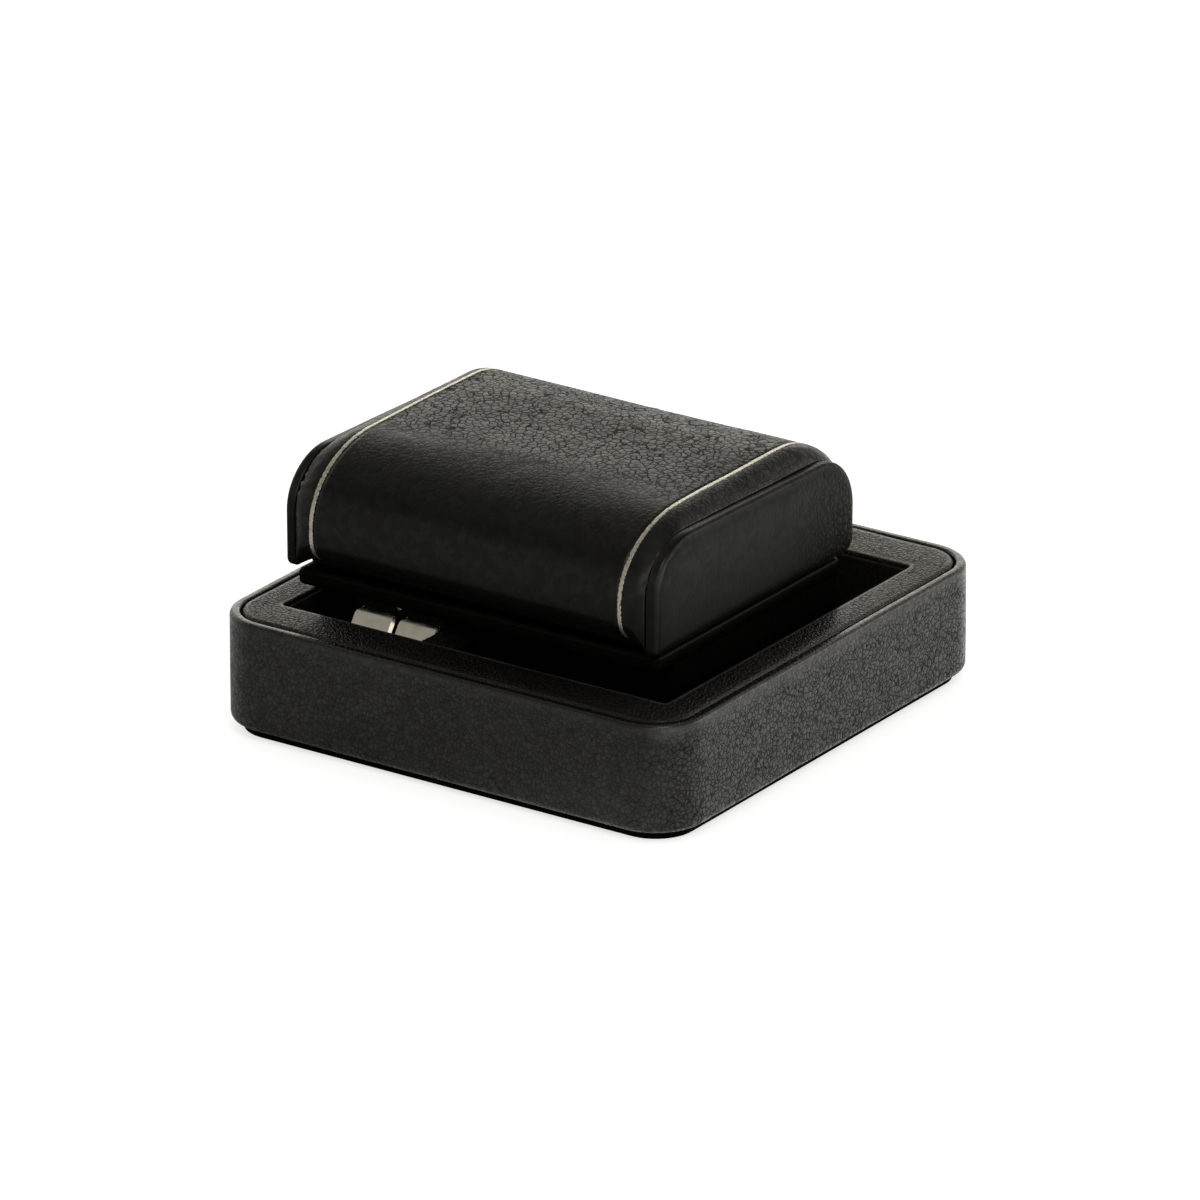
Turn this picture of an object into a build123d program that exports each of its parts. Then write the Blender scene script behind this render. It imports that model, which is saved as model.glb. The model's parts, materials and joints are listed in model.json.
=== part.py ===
from build123d import *
import os

# Travel watch stand: a leather-covered base with a suede well, a plinth in the
# well and a padded watch cuff that lifts off the plinth.
# Millimetres. +X is to the right, -Y is the front, +Z is up. The origin is on
# the resting face, under the middle of the base.

os.makedirs("parts", exist_ok=True)

# Base walls
base_width = 110.0
base_depth = 112.6
base_corner = 11.0
leather = 1.0
turn_in = 6.0
rim_height = 24.6
lip_width = 2.1
lip_thickness = 1.2
lip_round = 0.9
lip_inner_round = 0.4
wall_foot_round = 1.6
foot_inset = 2.6
foot_thickness = 1.8
board_thickness = 3.0

# Frame set into the rim, round the well
groove_width = 0.45
frame_bottom = 21.8
frame_rise = 0.2
frame_leather = 0.7
frame_edge_round = 0.9
opening_half_width = 45.6
opening_front = -44.0
opening_back = 42.5
opening_corner = 0.8
tab_left = -12.4
tab_right = -5.2
tab_play = 0.15

# Suede liners and floor of the well
liner_gap = 0.35
liner_thickness = 0.8
liner_drop = 0.6
liner_edge_round = 0.3
floor_pad_thickness = 1.6

# Plinth
plinth_half_width = 42.8
plinth_front = -43.3
plinth_back = 22.0
plinth_top = 33.0
slab_thickness = 3.4
slab_leather = 0.6
slab_corner = 1.8
slab_top_round = 1.2
slab_under_round = 0.9
block_inset = 0.5
block_front = -36.5
block_suede = 0.6
block_corner = 1.0

# Padded cuff, seen from its end
cuff_gap = 0.3
riser_half_width = 35.5
riser_front = -41.0
riser_back = 20.4
riser_corner = 4.0
cuff_front = -46.8
cuff_back = 26.2
cuff_bottom = 35.5
cuff_top = 58.6
front_crown_reach = 20.0
front_crown_start = 44.0
back_crown_reach = 17.0
back_crown_start = 45.0
under_reach = 6.0
under_start = 42.0
wrap_leather = 1.0
foam_thickness = 4.5

# Silver lines and end bands of the cuff
silver_centre = 36.5
silver_width = 0.9
silver_thickness = 0.25
band_shares = (0, 0.45, 0.8, 1)
band_steepness = 2.3
seam_inset = 0.2

# End cheeks, seen from the end
cheek_outer = 43.8
cheek_thickness = 2.3
cheek_leather = 0.5
cheek_edge_round = 0.85
cheek_front = -45.3
cheek_back = 24.8
cheek_front_top = 56.2
cheek_back_top = 55.0
cheek_front_reach = 12.5
cheek_front_start = 45.5
cheek_back_reach = 11.0
cheek_back_start = 43.5
cheek_rise = 0.6
cheek_front_foot = 1.6
cheek_back_foot = 3.0

# Sprung catch in the front of the plinth
catch_centre = -22.6
catch_play = 0.15
tongue_width = 9.3
tongue_gap = 1.2
tongue_nose = -39.75
tongue_crest = -37.1
tongue_low = 20.9
tongue_lip = 21.2
tongue_neck_top = 24.95
tongue_shoulder_top = 25.75
tongue_depth = 3.05
tongue_corner = 1.3
tongue_bevel = 0.55
case_sheet = 0.5
case_roof = 1.1
case_depth = 7.7
spring_strip = 0.25
spring_height = 2.4
spring_half_span = 3.5
spring_end_gap = 0.2
spring_tip_gap = 0.05
pin_radius = 0.3
pin_head_radius = 0.5
pin_head_height = 0.35
pin_head_round = 0.3
pin_length = 10.0

# Fasteners and magnets
magnet_radius = 5.0
magnet_thickness = 2.0
magnet_spacing = 44.0
screw_radius = 1.5
screw_head_radius = 3.2
screw_head_height = 1.8
screw_length = 16.0
screw_spacing_x = 60.0
screw_spacing_y = 44.0
tack_radius = 0.8
tack_head_radius = 1.6
tack_head_height = 0.5
tack_length = 8.0
tack_spacing = 34.0
tack_height = 46.0

# Heights and places worked out from the sizes above
foot_top = foot_thickness
board_bottom = foot_top + leather
board_top = board_bottom + board_thickness
well_floor = board_top + floor_pad_thickness
ridge_top = rim_height - lip_thickness
frame_top = rim_height + frame_rise
frame_inset = lip_width + groove_width
opening_depth = opening_back - opening_front
opening_middle = (opening_back + opening_front) / 2
liner_top = rim_height - liner_drop
liner_half_width = opening_half_width - liner_gap
liner_front = opening_front + liner_gap
liner_back = opening_back - liner_gap
pad_half_width = liner_half_width - liner_thickness
pad_depth = liner_back - liner_front - 2 * liner_thickness
slab_bottom = plinth_top - slab_thickness
plinth_depth = plinth_back - plinth_front
plinth_middle = (plinth_back + plinth_front) / 2
block_half_width = plinth_half_width - block_inset
block_back = plinth_back - block_inset
silver_inner = silver_centre - silver_width / 2
silver_outer = silver_centre + silver_width / 2
cheek_inner = cheek_outer - cheek_thickness
riser_bottom = plinth_top + cuff_gap
cheek_bottom = riser_bottom + cheek_rise
tab_middle = (tab_left + tab_right) / 2
tab_width = tab_right - tab_left
tab_root = opening_front - frame_edge_round
tongue_stop = block_front + case_sheet + catch_play
tongue_back = tongue_stop + tongue_depth
tongue_offset = (tongue_width + tongue_gap) / 2
chamber_high = tongue_shoulder_top + catch_play
chamber_low = tongue_low - catch_play
window_high = tongue_neck_top + catch_play
case_half_width = tongue_width + tongue_gap / 2 + catch_play + case_sheet
case_low = chamber_low - case_sheet
case_high = chamber_high + case_roof
case_back = block_front + case_depth
pin_height = chamber_high + case_roof / 2

UPRIGHT = (Align.CENTER, Align.CENTER, Align.MIN)
INWARDS = (Align.CENTER, Align.MIN, Align.MIN)
SIDES = {"left": -1, "right": 1}


def base_plan(inset):
    """Plan of the base, set in from its outer walls."""
    RectangleRounded(base_width - 2 * inset, base_depth - 2 * inset, base_corner - inset)


def well_plan(margin, mode=Mode.ADD):
    """Plan of the frame's opening, widened by a margin."""
    with Locations((0, opening_middle)):
        RectangleRounded(
            2 * (opening_half_width + margin),
            opening_depth + 2 * margin,
            opening_corner,
            mode=mode,
        )


def plinth_plan(inset, corner, mode=Mode.ADD):
    """Plan of the plinth, set in from the edge of its top."""
    with Locations((0, plinth_middle)):
        RectangleRounded(
            2 * (plinth_half_width - inset),
            plinth_depth - 2 * inset,
            corner,
            mode=mode,
        )


def block_plan(inset, corner, mode=Mode.ADD):
    """Plan of the plinth's block, set in from its suede."""
    with Locations((0, (block_back + block_front) / 2)):
        RectangleRounded(
            2 * (block_half_width - inset),
            block_back - block_front - 2 * inset,
            corner,
            mode=mode,
        )


def tab_block(margin, top):
    """Tab that ties the frame to the plinth, made wider by a margin."""
    with BuildSketch(Plane.XY.offset(frame_bottom)) as plan:
        with Locations((tab_middle, tab_root)):
            Rectangle(
                tab_width + 2 * margin,
                block_front - tab_root,
                align=(Align.CENTER, Align.MIN),
            )
    extrude(plan.sketch, amount=top - frame_bottom)


def cuff_corners(inset):
    """Corners of the padded cuff seen from its end, set in from its leather.

    Each corner is (middle y, middle z, reach in y, reach in z); the order is front crown,
    front foot, back foot, back crown.
    """
    foot = (under_reach - inset, under_start - cuff_bottom - inset)
    front_crown = (front_crown_reach - inset, cuff_top - front_crown_start - inset)
    back_crown = (back_crown_reach - inset, cuff_top - back_crown_start - inset)
    return (
        (cuff_front + front_crown_reach, front_crown_start, *front_crown),
        (cuff_front + under_reach, under_start, *foot),
        (cuff_back - under_reach, under_start, *foot),
        (cuff_back - back_crown_reach, back_crown_start, *back_crown),
    )


def cheek_corners(inset):
    """Corners of a cheek seen from its end; its top falls a little towards the back."""
    front_crown = (cheek_front_reach - inset, cheek_front_top - cheek_front_start - inset)
    back_crown = (cheek_back_reach - inset, cheek_back_top - cheek_back_start - inset)
    front_foot, back_foot = cheek_front_foot - inset, cheek_back_foot - inset
    return (
        (cheek_front + cheek_front_reach, cheek_front_start, *front_crown),
        (
            cheek_front + cheek_front_foot,
            cheek_bottom + cheek_front_foot,
            front_foot,
            front_foot,
        ),
        (cheek_back - cheek_back_foot, cheek_bottom + cheek_back_foot, back_foot, back_foot),
        (cheek_back - cheek_back_reach, cheek_back_start, *back_crown),
    )


def end_outline(corners, mode=Mode.ADD):
    """Closed outline in Y and Z with four curved corners."""
    with BuildLine() as outline:
        arcs = [
            EllipticalCenterArc((c[0], c[1]), c[2], c[3], start, arc_size=90)
            for c, start in zip(corners, (90, 180, 270, 0))
        ]
        for arc, following in zip(arcs, arcs[1:] + arcs[:1]):
            Line(arc @ 1, following @ 0)
    make_face(outline.edges(), mode=mode)


def cuff_block(inset, reach):
    """Solid of the cuff's outline, as far out as reach on both sides."""
    with BuildSketch(Plane.YZ.offset(-reach)) as end:
        end_outline(cuff_corners(inset))
    extrude(end.sketch, amount=2 * reach)


def crowned_end(side, inset, mode=Mode.ADD):
    """Solid that falls in a curve from the cuff's outline to the cheek's."""
    sections = []
    for share in band_shares:
        x = silver_outer + share * (cheek_inner - silver_outer)
        fall = share**band_steepness
        pairs = zip(cuff_corners(inset), cheek_corners(seam_inset + inset))
        corners = [[a + fall * (b - a) for a, b in zip(*pair)] for pair in pairs]
        with BuildSketch(Plane.YZ.offset(side * x)) as section:
            end_outline(corners)
        sections.append(section.sketch)
    loft(sections, ruled=True, mode=mode)


def save(piece, label):
    """Name a finished piece and write it to its own file."""
    piece.part.label = label
    export_step(piece.part, f"parts/{label}.step")


# Velvet foot: a pad with a raised middle that fills the turned-in leather
with BuildPart() as foot_pad:
    with BuildSketch():
        base_plan(foot_inset)
    extrude(amount=foot_thickness)
    with BuildSketch(Plane.XY.offset(foot_top)):
        base_plan(turn_in)
    extrude(amount=leather)
save(foot_pad, "foot_pad")

# Countersunk screws that hold the plinth, from under the base board
with BuildPart() as plinth_screws:
    with Locations((0, plinth_middle, board_bottom)):
        with GridLocations(screw_spacing_x, screw_spacing_y, 2, 2):
            Cone(screw_head_radius, screw_radius, screw_head_height, align=UPRIGHT)
            Cylinder(screw_radius, screw_length, align=UPRIGHT)
save(plinth_screws, "plinth_screws")

# Base board under the walls and the well
with BuildPart() as base_board:
    with BuildSketch(Plane.XY.offset(board_bottom)):
        base_plan(leather)
    extrude(amount=board_thickness)
    chamfer(base_board.edges().group_by(Axis.Z)[0], wall_foot_round - leather)
    add(plinth_screws.part, mode=Mode.SUBTRACT)
save(base_board, "base_board")

# Wall core: a thick ring with a low ridge round the bed of the frame
with BuildPart() as wall_core:
    with BuildSketch(Plane.XY.offset(board_top)):
        base_plan(leather)
        well_plan(0, mode=Mode.SUBTRACT)
    extrude(amount=ridge_top - board_top)
    with BuildSketch(Plane.XY.offset(frame_bottom)):
        base_plan(lip_width)
    extrude(amount=ridge_top - frame_bottom, mode=Mode.SUBTRACT)
save(wall_core, "wall_core")

# Space that the wall leather is wrapped round
with BuildPart() as wrapped_space:
    with BuildSketch(Plane.XY.offset(board_bottom)):
        base_plan(leather)
    extrude(amount=ridge_top - board_bottom)
    chamfer(wrapped_space.edges().group_by(Axis.Z)[0], wall_foot_round - leather)

# Wall leather: rolled over the rim and turned in under the board
with BuildPart() as wall_cover:
    with BuildSketch(Plane.XY.offset(foot_top)):
        base_plan(0)
    extrude(amount=rim_height - foot_top)
    fillet(wall_cover.edges().group_by(Axis.Z)[-1], lip_round)
    fillet(wall_cover.edges().group_by(Axis.Z)[0], wall_foot_round)
    add(wrapped_space.part, mode=Mode.SUBTRACT)
    with BuildSketch(Plane.XY.offset(foot_top)):
        base_plan(turn_in)
    extrude(amount=leather, mode=Mode.SUBTRACT)
    with BuildSketch(Plane.XY.offset(ridge_top)):
        base_plan(lip_width)
    extrude(amount=lip_thickness, mode=Mode.SUBTRACT)
    rim_face = wall_cover.faces().sort_by(Axis.Z)[-1]
    fillet(rim_face.inner_wires()[0].edges(), lip_inner_round)
save(wall_cover, "wall_cover")

# Frame round the well: a board with a tab to the plinth, and the leather over it
with BuildPart() as top_frame_core:
    with BuildSketch(Plane.XY.offset(frame_bottom)):
        base_plan(frame_inset + frame_leather)
        well_plan(frame_leather, mode=Mode.SUBTRACT)
    extrude(amount=frame_top - frame_leather - frame_bottom)
    tab_block(-frame_leather, frame_top - frame_leather)
save(top_frame_core, "top_frame_core")

with BuildPart() as frame_tab:
    tab_block(0, frame_top)
    long_edges = frame_tab.edges().filter_by(Axis.Y).group_by(Axis.Z)[-1]
    fillet(long_edges, frame_edge_round)

with BuildPart() as top_frame_cover:
    with BuildSketch(Plane.XY.offset(frame_bottom)):
        base_plan(frame_inset)
        well_plan(0, mode=Mode.SUBTRACT)
    extrude(amount=frame_top - frame_bottom)
    fillet(top_frame_cover.edges().group_by(Axis.Z)[-1], frame_edge_round)
    add(frame_tab.part)
    add(top_frame_core.part, mode=Mode.SUBTRACT)
save(top_frame_cover, "top_frame_cover")

# Room for the frame's tab in the front liner
with BuildPart() as tab_space:
    tab_block(tab_play, frame_top)

# Liners of the well: the front and back ones run the full width
for label, start in (
    ("well_liner_front", liner_front),
    ("well_liner_back", liner_back - liner_thickness),
):
    with BuildPart() as liner:
        with Locations((0, start, board_top)):
            Box(
                2 * liner_half_width,
                liner_thickness,
                liner_top - board_top,
                align=INWARDS,
            )
        rim_edges = liner.edges().group_by(Axis.Z)[-1].filter_by(Axis.X)
        fillet(rim_edges, liner_edge_round)
        add(tab_space.part, mode=Mode.SUBTRACT)
    save(liner, label)

for name, side in SIDES.items():
    with BuildPart() as liner:
        middle = side * (liner_half_width - liner_thickness / 2)
        with Locations((middle, liner_front + liner_thickness, board_top)):
            Box(liner_thickness, pad_depth, liner_top - board_top, align=INWARDS)
        rim_edges = liner.edges().group_by(Axis.Z)[-1].filter_by(Axis.Y)
        fillet(rim_edges, liner_edge_round)
    save(liner, f"well_liner_{name}")

# Suede floor pad between the liners
with BuildPart() as well_floor_pad:
    with Locations((0, liner_front + liner_thickness, board_top)):
        Box(2 * pad_half_width, pad_depth, floor_pad_thickness, align=INWARDS)
    add(plinth_screws.part, mode=Mode.SUBTRACT)
save(well_floor_pad, "well_floor_pad")

# Space for the catch case in the front of the plinth
with BuildPart() as case_space:
    with Locations((catch_centre, block_front, case_low)):
        Box(
            2 * case_half_width,
            case_back - block_front,
            case_high - case_low,
            align=INWARDS,
        )

# Pin that nails the catch case into the block
with BuildPart() as catch_pin:
    for radius, depth in ((pin_head_radius, -pin_head_height), (pin_radius, pin_length)):
        with BuildSketch(Plane.XZ.offset(-block_front)):
            with Locations((catch_centre, pin_height)):
                Circle(radius)
        extrude(amount=-depth)
    fillet(catch_pin.edges().group_by(Axis.Y)[0], pin_head_round)
save(catch_pin, "catch_pin")

# Plinth block and the suede round it
with BuildPart() as plinth_block:
    with BuildSketch(Plane.XY.offset(well_floor)):
        block_plan(block_suede, block_corner)
    extrude(amount=slab_bottom - well_floor)
    add(plinth_screws.part, mode=Mode.SUBTRACT)
    add(case_space.part, mode=Mode.SUBTRACT)
    add(catch_pin.part, mode=Mode.SUBTRACT)
save(plinth_block, "plinth_block")

with BuildPart() as plinth_block_cover:
    with BuildSketch(Plane.XY.offset(well_floor)):
        block_plan(0, block_corner + block_suede)
        block_plan(block_suede, block_corner, mode=Mode.SUBTRACT)
    extrude(amount=slab_bottom - well_floor)
    add(case_space.part, mode=Mode.SUBTRACT)
save(plinth_block_cover, "plinth_block_cover")

# Magnets under the leather of the plinth's top
with BuildPart() as plinth_magnets:
    with Locations((0, plinth_middle, plinth_top - slab_leather - magnet_thickness)):
        with GridLocations(magnet_spacing, 0, 2, 1):
            Cylinder(magnet_radius, magnet_thickness, align=UPRIGHT)
save(plinth_magnets, "plinth_magnets")

# Top of the plinth: a board with rounded edges, in its leather
with BuildPart() as slab_space:
    with BuildSketch(Plane.XY.offset(slab_bottom + slab_leather)):
        plinth_plan(slab_leather, slab_corner - slab_leather)
    extrude(amount=slab_thickness - 2 * slab_leather)
    chamfer(slab_space.edges().group_by(Axis.Z)[-1], slab_top_round - slab_leather)
    chamfer(slab_space.edges().group_by(Axis.Z)[0], slab_under_round - slab_leather)

with BuildPart() as plinth_top_board:
    add(slab_space.part)
    add(plinth_magnets.part, mode=Mode.SUBTRACT)
save(plinth_top_board, "plinth_top_board")

with BuildPart() as plinth_top_cover:
    with BuildSketch(Plane.XY.offset(slab_bottom)):
        plinth_plan(0, slab_corner)
    extrude(amount=slab_thickness)
    fillet(plinth_top_cover.edges().group_by(Axis.Z)[-1], slab_top_round)
    fillet(plinth_top_cover.edges().group_by(Axis.Z)[0], slab_under_round)
    add(slab_space.part, mode=Mode.SUBTRACT)
save(plinth_top_cover, "plinth_top_cover")

# Catch case: flush with the plinth's front, with a chamber for each tongue
with BuildPart() as catch_case:
    add(case_space.part)
    for side in SIDES.values():
        middle = catch_centre + side * tongue_offset
        with Locations((middle, block_front + case_sheet, chamber_low)):
            Box(
                tongue_width + 2 * catch_play,
                case_depth - 2 * case_sheet,
                chamber_high - chamber_low,
                align=INWARDS,
                mode=Mode.SUBTRACT,
            )
        with Locations((middle, block_front, chamber_low)):
            Box(
                tongue_width + 2 * catch_play,
                case_sheet,
                window_high - chamber_low,
                align=INWARDS,
                mode=Mode.SUBTRACT,
            )
    add(catch_pin.part, mode=Mode.SUBTRACT)
save(catch_case, "catch_case")

# Tongues with a sloping face, each with a bow spring behind it
for name, side in SIDES.items():
    middle = catch_centre + side * tongue_offset
    with BuildPart() as tongue:
        with BuildSketch(Plane.YZ.offset(middle - tongue_width / 2)):
            Polygon(
                (tongue_nose, tongue_low),
                (tongue_stop, tongue_low),
                (tongue_stop, tongue_neck_top),
                (tongue_crest, tongue_neck_top),
                (tongue_nose, tongue_lip),
                align=None,
            )
        extrude(amount=tongue_width)
        slope = tongue.faces().sort_by(lambda face: face.normal_at().Z - face.normal_at().Y)[-1]
        chamfer(slope.edges().sort_by(Axis.X)[-1], tongue_bevel)
        top_edges = tongue.edges().filter_by(Axis.Y).group_by(Axis.Z)[-1]
        fillet(top_edges.sort_by(Axis.X)[0], tongue_corner)
        with Locations((middle, tongue_stop, tongue_low)):
            Box(
                tongue_width,
                tongue_depth,
                tongue_shoulder_top - tongue_low,
                align=INWARDS,
            )
    save(tongue, f"catch_tongue_{name}")

    with BuildPart() as spring:
        strip_low = (tongue_low + tongue_shoulder_top - spring_height) / 2
        feet = case_back - case_sheet - spring_end_gap
        crest = tongue_back + spring_tip_gap + spring_strip / 2
        with BuildSketch(Plane.XY.offset(strip_low)):
            with BuildLine():
                ThreePointArc(
                    (middle - spring_half_span, feet),
                    (middle, crest),
                    (middle + spring_half_span, feet),
                )
            trace(line_width=spring_strip)
        extrude(amount=spring_height)
    save(spring, f"catch_spring_{name}")

# Tacks that fix the cheek boards to the cuff's core
tack_outer = cheek_outer - cheek_leather
with BuildPart() as cheek_tacks:
    for side in SIDES.values():
        for radius, length in (
            (tack_head_radius, tack_head_height),
            (tack_radius, tack_length),
        ):
            with BuildSketch(Plane.YZ.offset(side * tack_outer)):
                with Locations((plinth_middle, tack_height)):
                    with GridLocations(tack_spacing, 0, 2, 1):
                        Circle(radius)
            extrude(amount=-side * length)
save(cheek_tacks, "cheek_tacks")

# Magnets in the underside of the cuff
with BuildPart() as cuff_magnets:
    with Locations((0, plinth_middle, cuff_bottom + wrap_leather)):
        with GridLocations(magnet_spacing, 0, 2, 1):
            Cylinder(magnet_radius, magnet_thickness, align=UPRIGHT)
save(cuff_magnets, "cuff_magnets")

# Core of the cuff, foam round it and the leather wrap between the end bands
with BuildPart() as core_space:
    cuff_block(wrap_leather + foam_thickness, cheek_inner)

with BuildPart() as cuff_core:
    add(core_space.part)
    add(cheek_tacks.part, mode=Mode.SUBTRACT)
save(cuff_core, "cuff_core")

with BuildPart() as cuff_foam:
    cuff_block(wrap_leather, silver_outer)
    for side in SIDES.values():
        crowned_end(side, wrap_leather)
    add(core_space.part, mode=Mode.SUBTRACT)
    add(cuff_magnets.part, mode=Mode.SUBTRACT)
save(cuff_foam, "cuff_foam")

with BuildPart() as cuff_wrap:
    cuff_block(silver_thickness, silver_outer)
    cuff_block(0, silver_inner)
    with BuildSketch(Plane.YZ.offset(-silver_outer)):
        end_outline(cuff_corners(wrap_leather))
    extrude(amount=2 * silver_outer, mode=Mode.SUBTRACT)
save(cuff_wrap, "cuff_wrap")

# Riser that carries the cuff on the plinth, set in from its edges
with BuildPart() as cuff_foot:
    with BuildSketch(Plane.XY.offset(riser_bottom)):
        with Locations((0, (riser_front + riser_back) / 2)):
            RectangleRounded(2 * riser_half_width, riser_back - riser_front, riser_corner)
    extrude(amount=cuff_bottom - riser_bottom)
save(cuff_foot, "cuff_foot")

# Silver lines, crowned end bands and the cheeks at both ends
for name, side in SIDES.items():
    with BuildPart() as silver_line:
        with BuildSketch(Plane.YZ.offset(side * silver_centre - silver_width / 2)):
            end_outline(cuff_corners(0))
            end_outline(cuff_corners(silver_thickness), mode=Mode.SUBTRACT)
        extrude(amount=silver_width)
    save(silver_line, f"silver_line_{name}")

    with BuildPart() as band:
        crowned_end(side, 0)
        crowned_end(side, wrap_leather, mode=Mode.SUBTRACT)
    save(band, f"cuff_band_{name}")

    cheek_start = cheek_inner if side > 0 else -cheek_outer
    with BuildPart() as board_space:
        with BuildSketch(Plane.YZ.offset(cheek_start + cheek_leather)):
            end_outline(cheek_corners(cheek_leather))
        extrude(amount=cheek_thickness - 2 * cheek_leather)

    with BuildPart() as cheek_board:
        add(board_space.part)
        add(cheek_tacks.part, mode=Mode.SUBTRACT)
    save(cheek_board, f"cheek_board_{name}")

    with BuildPart() as cheek_cover:
        with BuildSketch(Plane.YZ.offset(cheek_start)):
            end_outline(cheek_corners(0))
        extrude(amount=cheek_thickness)
        outer_face = cheek_cover.faces().sort_by(Axis.X, reverse=side < 0)[-1]
        fillet(outer_face.edges(), cheek_edge_round)
        add(board_space.part, mode=Mode.SUBTRACT)
        add(cheek_tacks.part, mode=Mode.SUBTRACT)
    save(cheek_cover, f"cheek_cover_{name}")
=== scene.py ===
"""Looks of the travel watch stand: leather, suede, foil and nickel round the packed frame."""

import json
import math

import bmesh
import bpy
import numpy as np
from bpy.props import FloatProperty, FloatVectorProperty, PointerProperty
from mathutils import Matrix, Vector, noise


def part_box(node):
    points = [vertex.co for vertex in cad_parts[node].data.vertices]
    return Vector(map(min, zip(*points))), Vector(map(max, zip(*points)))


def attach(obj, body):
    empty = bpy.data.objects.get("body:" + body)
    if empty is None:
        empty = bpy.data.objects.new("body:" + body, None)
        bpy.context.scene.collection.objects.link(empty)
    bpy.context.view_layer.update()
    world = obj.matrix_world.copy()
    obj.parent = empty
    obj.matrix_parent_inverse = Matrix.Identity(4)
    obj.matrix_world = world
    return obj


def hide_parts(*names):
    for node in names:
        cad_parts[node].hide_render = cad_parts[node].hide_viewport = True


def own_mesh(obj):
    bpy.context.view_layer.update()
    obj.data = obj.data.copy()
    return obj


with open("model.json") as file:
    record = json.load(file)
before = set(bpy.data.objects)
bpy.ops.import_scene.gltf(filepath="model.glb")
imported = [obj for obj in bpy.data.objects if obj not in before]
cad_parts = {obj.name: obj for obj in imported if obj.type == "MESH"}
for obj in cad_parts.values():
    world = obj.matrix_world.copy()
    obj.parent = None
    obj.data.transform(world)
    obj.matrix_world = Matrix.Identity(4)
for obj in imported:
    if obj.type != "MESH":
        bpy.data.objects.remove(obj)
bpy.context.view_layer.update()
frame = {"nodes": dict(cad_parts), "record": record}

bl_info = {
    "name": "Travel watch stand",
    "version": (1, 0, 0),
    "blender": (4, 5, 0),
    "location": "3D View > Sidebar > Watch stand",
    "description": "Leather, suede, foil and nickel pieces of a travel watch stand",
    "category": "Object",
}

MM = 0.001
SIDES = {"left": -1, "right": 1}


def length(name, description, default):
    """Length property in metres."""
    return FloatProperty(name=name, description=description, default=default, unit="LENGTH",
                         precision=5)


def colour(name, description, default):
    """Linear colour property."""
    return FloatVectorProperty(name=name, description=description, default=default,
                               subtype="COLOR", size=3, min=0.0, max=1.0)


class BaseSizes(bpy.types.PropertyGroup):
    """Leather of the base walls and of the frame round the well."""

    leather: length("Wall leather", "Thickness of the leather on the walls", 1.0 * MM)
    corner: length("Wall corner", "Radius of the outer corners in plan", 11.0 * MM)
    foot_round: length("Foot round", "Round of the walls' lower edge", 1.6 * MM)
    turn_in: length("Turn-in", "How far the leather runs in under the board", 6.0 * MM)
    lip_width: length("Lip width", "Width of the rolled lip on the rim", 2.1 * MM)
    lip_thickness: length("Lip thickness", "Depth of the lip's inner side", 1.2 * MM)
    lip_round: length("Lip round", "Outer round of the lip", 0.95 * MM)
    lip_inner_round: length("Inner lip round", "Inner round of the lip", 0.5 * MM)
    groove: length("Groove", "Gap between the lip and the frame", 0.45 * MM)
    frame_leather: length("Frame leather", "Thickness of the leather on the frame", 0.7 * MM)
    frame_round: length("Frame round", "Outer round of the frame", 1.0 * MM)
    frame_inner_round: length("Inner frame round", "Round of the frame's inner edge", 0.6 * MM)
    frame_crown: length("Frame crown", "How much the frame's face swells", 0.12 * MM)
    opening_corner: length("Opening corner", "Corner radius of the opening", 0.8 * MM)
    liner_gap: length("Liner gap", "Gap between the opening and the liners", 0.35 * MM)
    tab_left: length("Tab's left side", "Left side of the tab to the plinth", -12.4 * MM)
    tab_right: length("Tab's right side", "Right side of the tab to the plinth", -5.2 * MM)
    tab_pucker: length("Tab pucker", "Depth of the gathers along the tab's sides", 0.22 * MM)
    spring_strip: length("Spring strip", "Thickness of the catch's springs", 0.25 * MM)


class PlinthSizes(bpy.types.PropertyGroup):
    """Leather-wrapped top of the plinth."""

    corner: length("Plinth corner", "Corner radius in plan", 1.8 * MM)
    top_round: length("Top round", "Round of the upper edge", 1.2 * MM)
    under_round: length("Under round", "Round of the lower edge", 0.9 * MM)
    crown: length("Plinth crown", "How much the top swells", 0.15 * MM)


class CuffSizes(bpy.types.PropertyGroup):
    """Padded cuff: the curves of its end outline, its lines and its end bands."""

    front_crown_reach: length("Front crown depth", "Depth of the front crown", 20.0 * MM)
    front_crown_start: length("Front crown height", "Height where the front crown starts",
                              44.0 * MM)
    back_crown_reach: length("Back crown depth", "Depth of the back crown", 17.0 * MM)
    back_crown_start: length("Back crown height", "Height where the back crown starts",
                             45.0 * MM)
    under_reach: length("Under curve depth", "Depth of the curves below", 6.0 * MM)
    under_start: length("Under curve height", "Height where the curves below end", 42.0 * MM)
    leather: length("Cuff leather", "Thickness of the cuff's leather", 1.0 * MM)
    seam_inset: length("Seam depth", "How far the end bands end below the cheeks", 0.2 * MM)
    band_steepness: FloatProperty(name="Band steepness", default=2.3, min=1.0,
                                  description="How late the end bands fall to the cheeks")
    swell: length("Swell", "Most that the padding swells past its plain outline", 0.5 * MM)
    pucker: length("Pucker depth", "Depth of the gathers at the cheek seams", 0.55 * MM)
    foot_gap: length("Foot gap", "Gap between the cuff's foot and the cheeks", 0.1 * MM)
    foot_round: length("Foot round", "Round of the foot's lower edge", 0.8 * MM)
    foot_corner: length("Foot corner", "Corner radius of the foot in plan", 2.0 * MM)
    foot_inner_corner: length("Inner foot corner", "Corner radius of the foot's flat underside",
                              1.0 * MM)
    line_rise: length("Foil rise", "How far the foil stands proud", 0.03 * MM)
    line_depth: length("Foil depth", "Thickness of the foil strip", 0.25 * MM)


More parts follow.
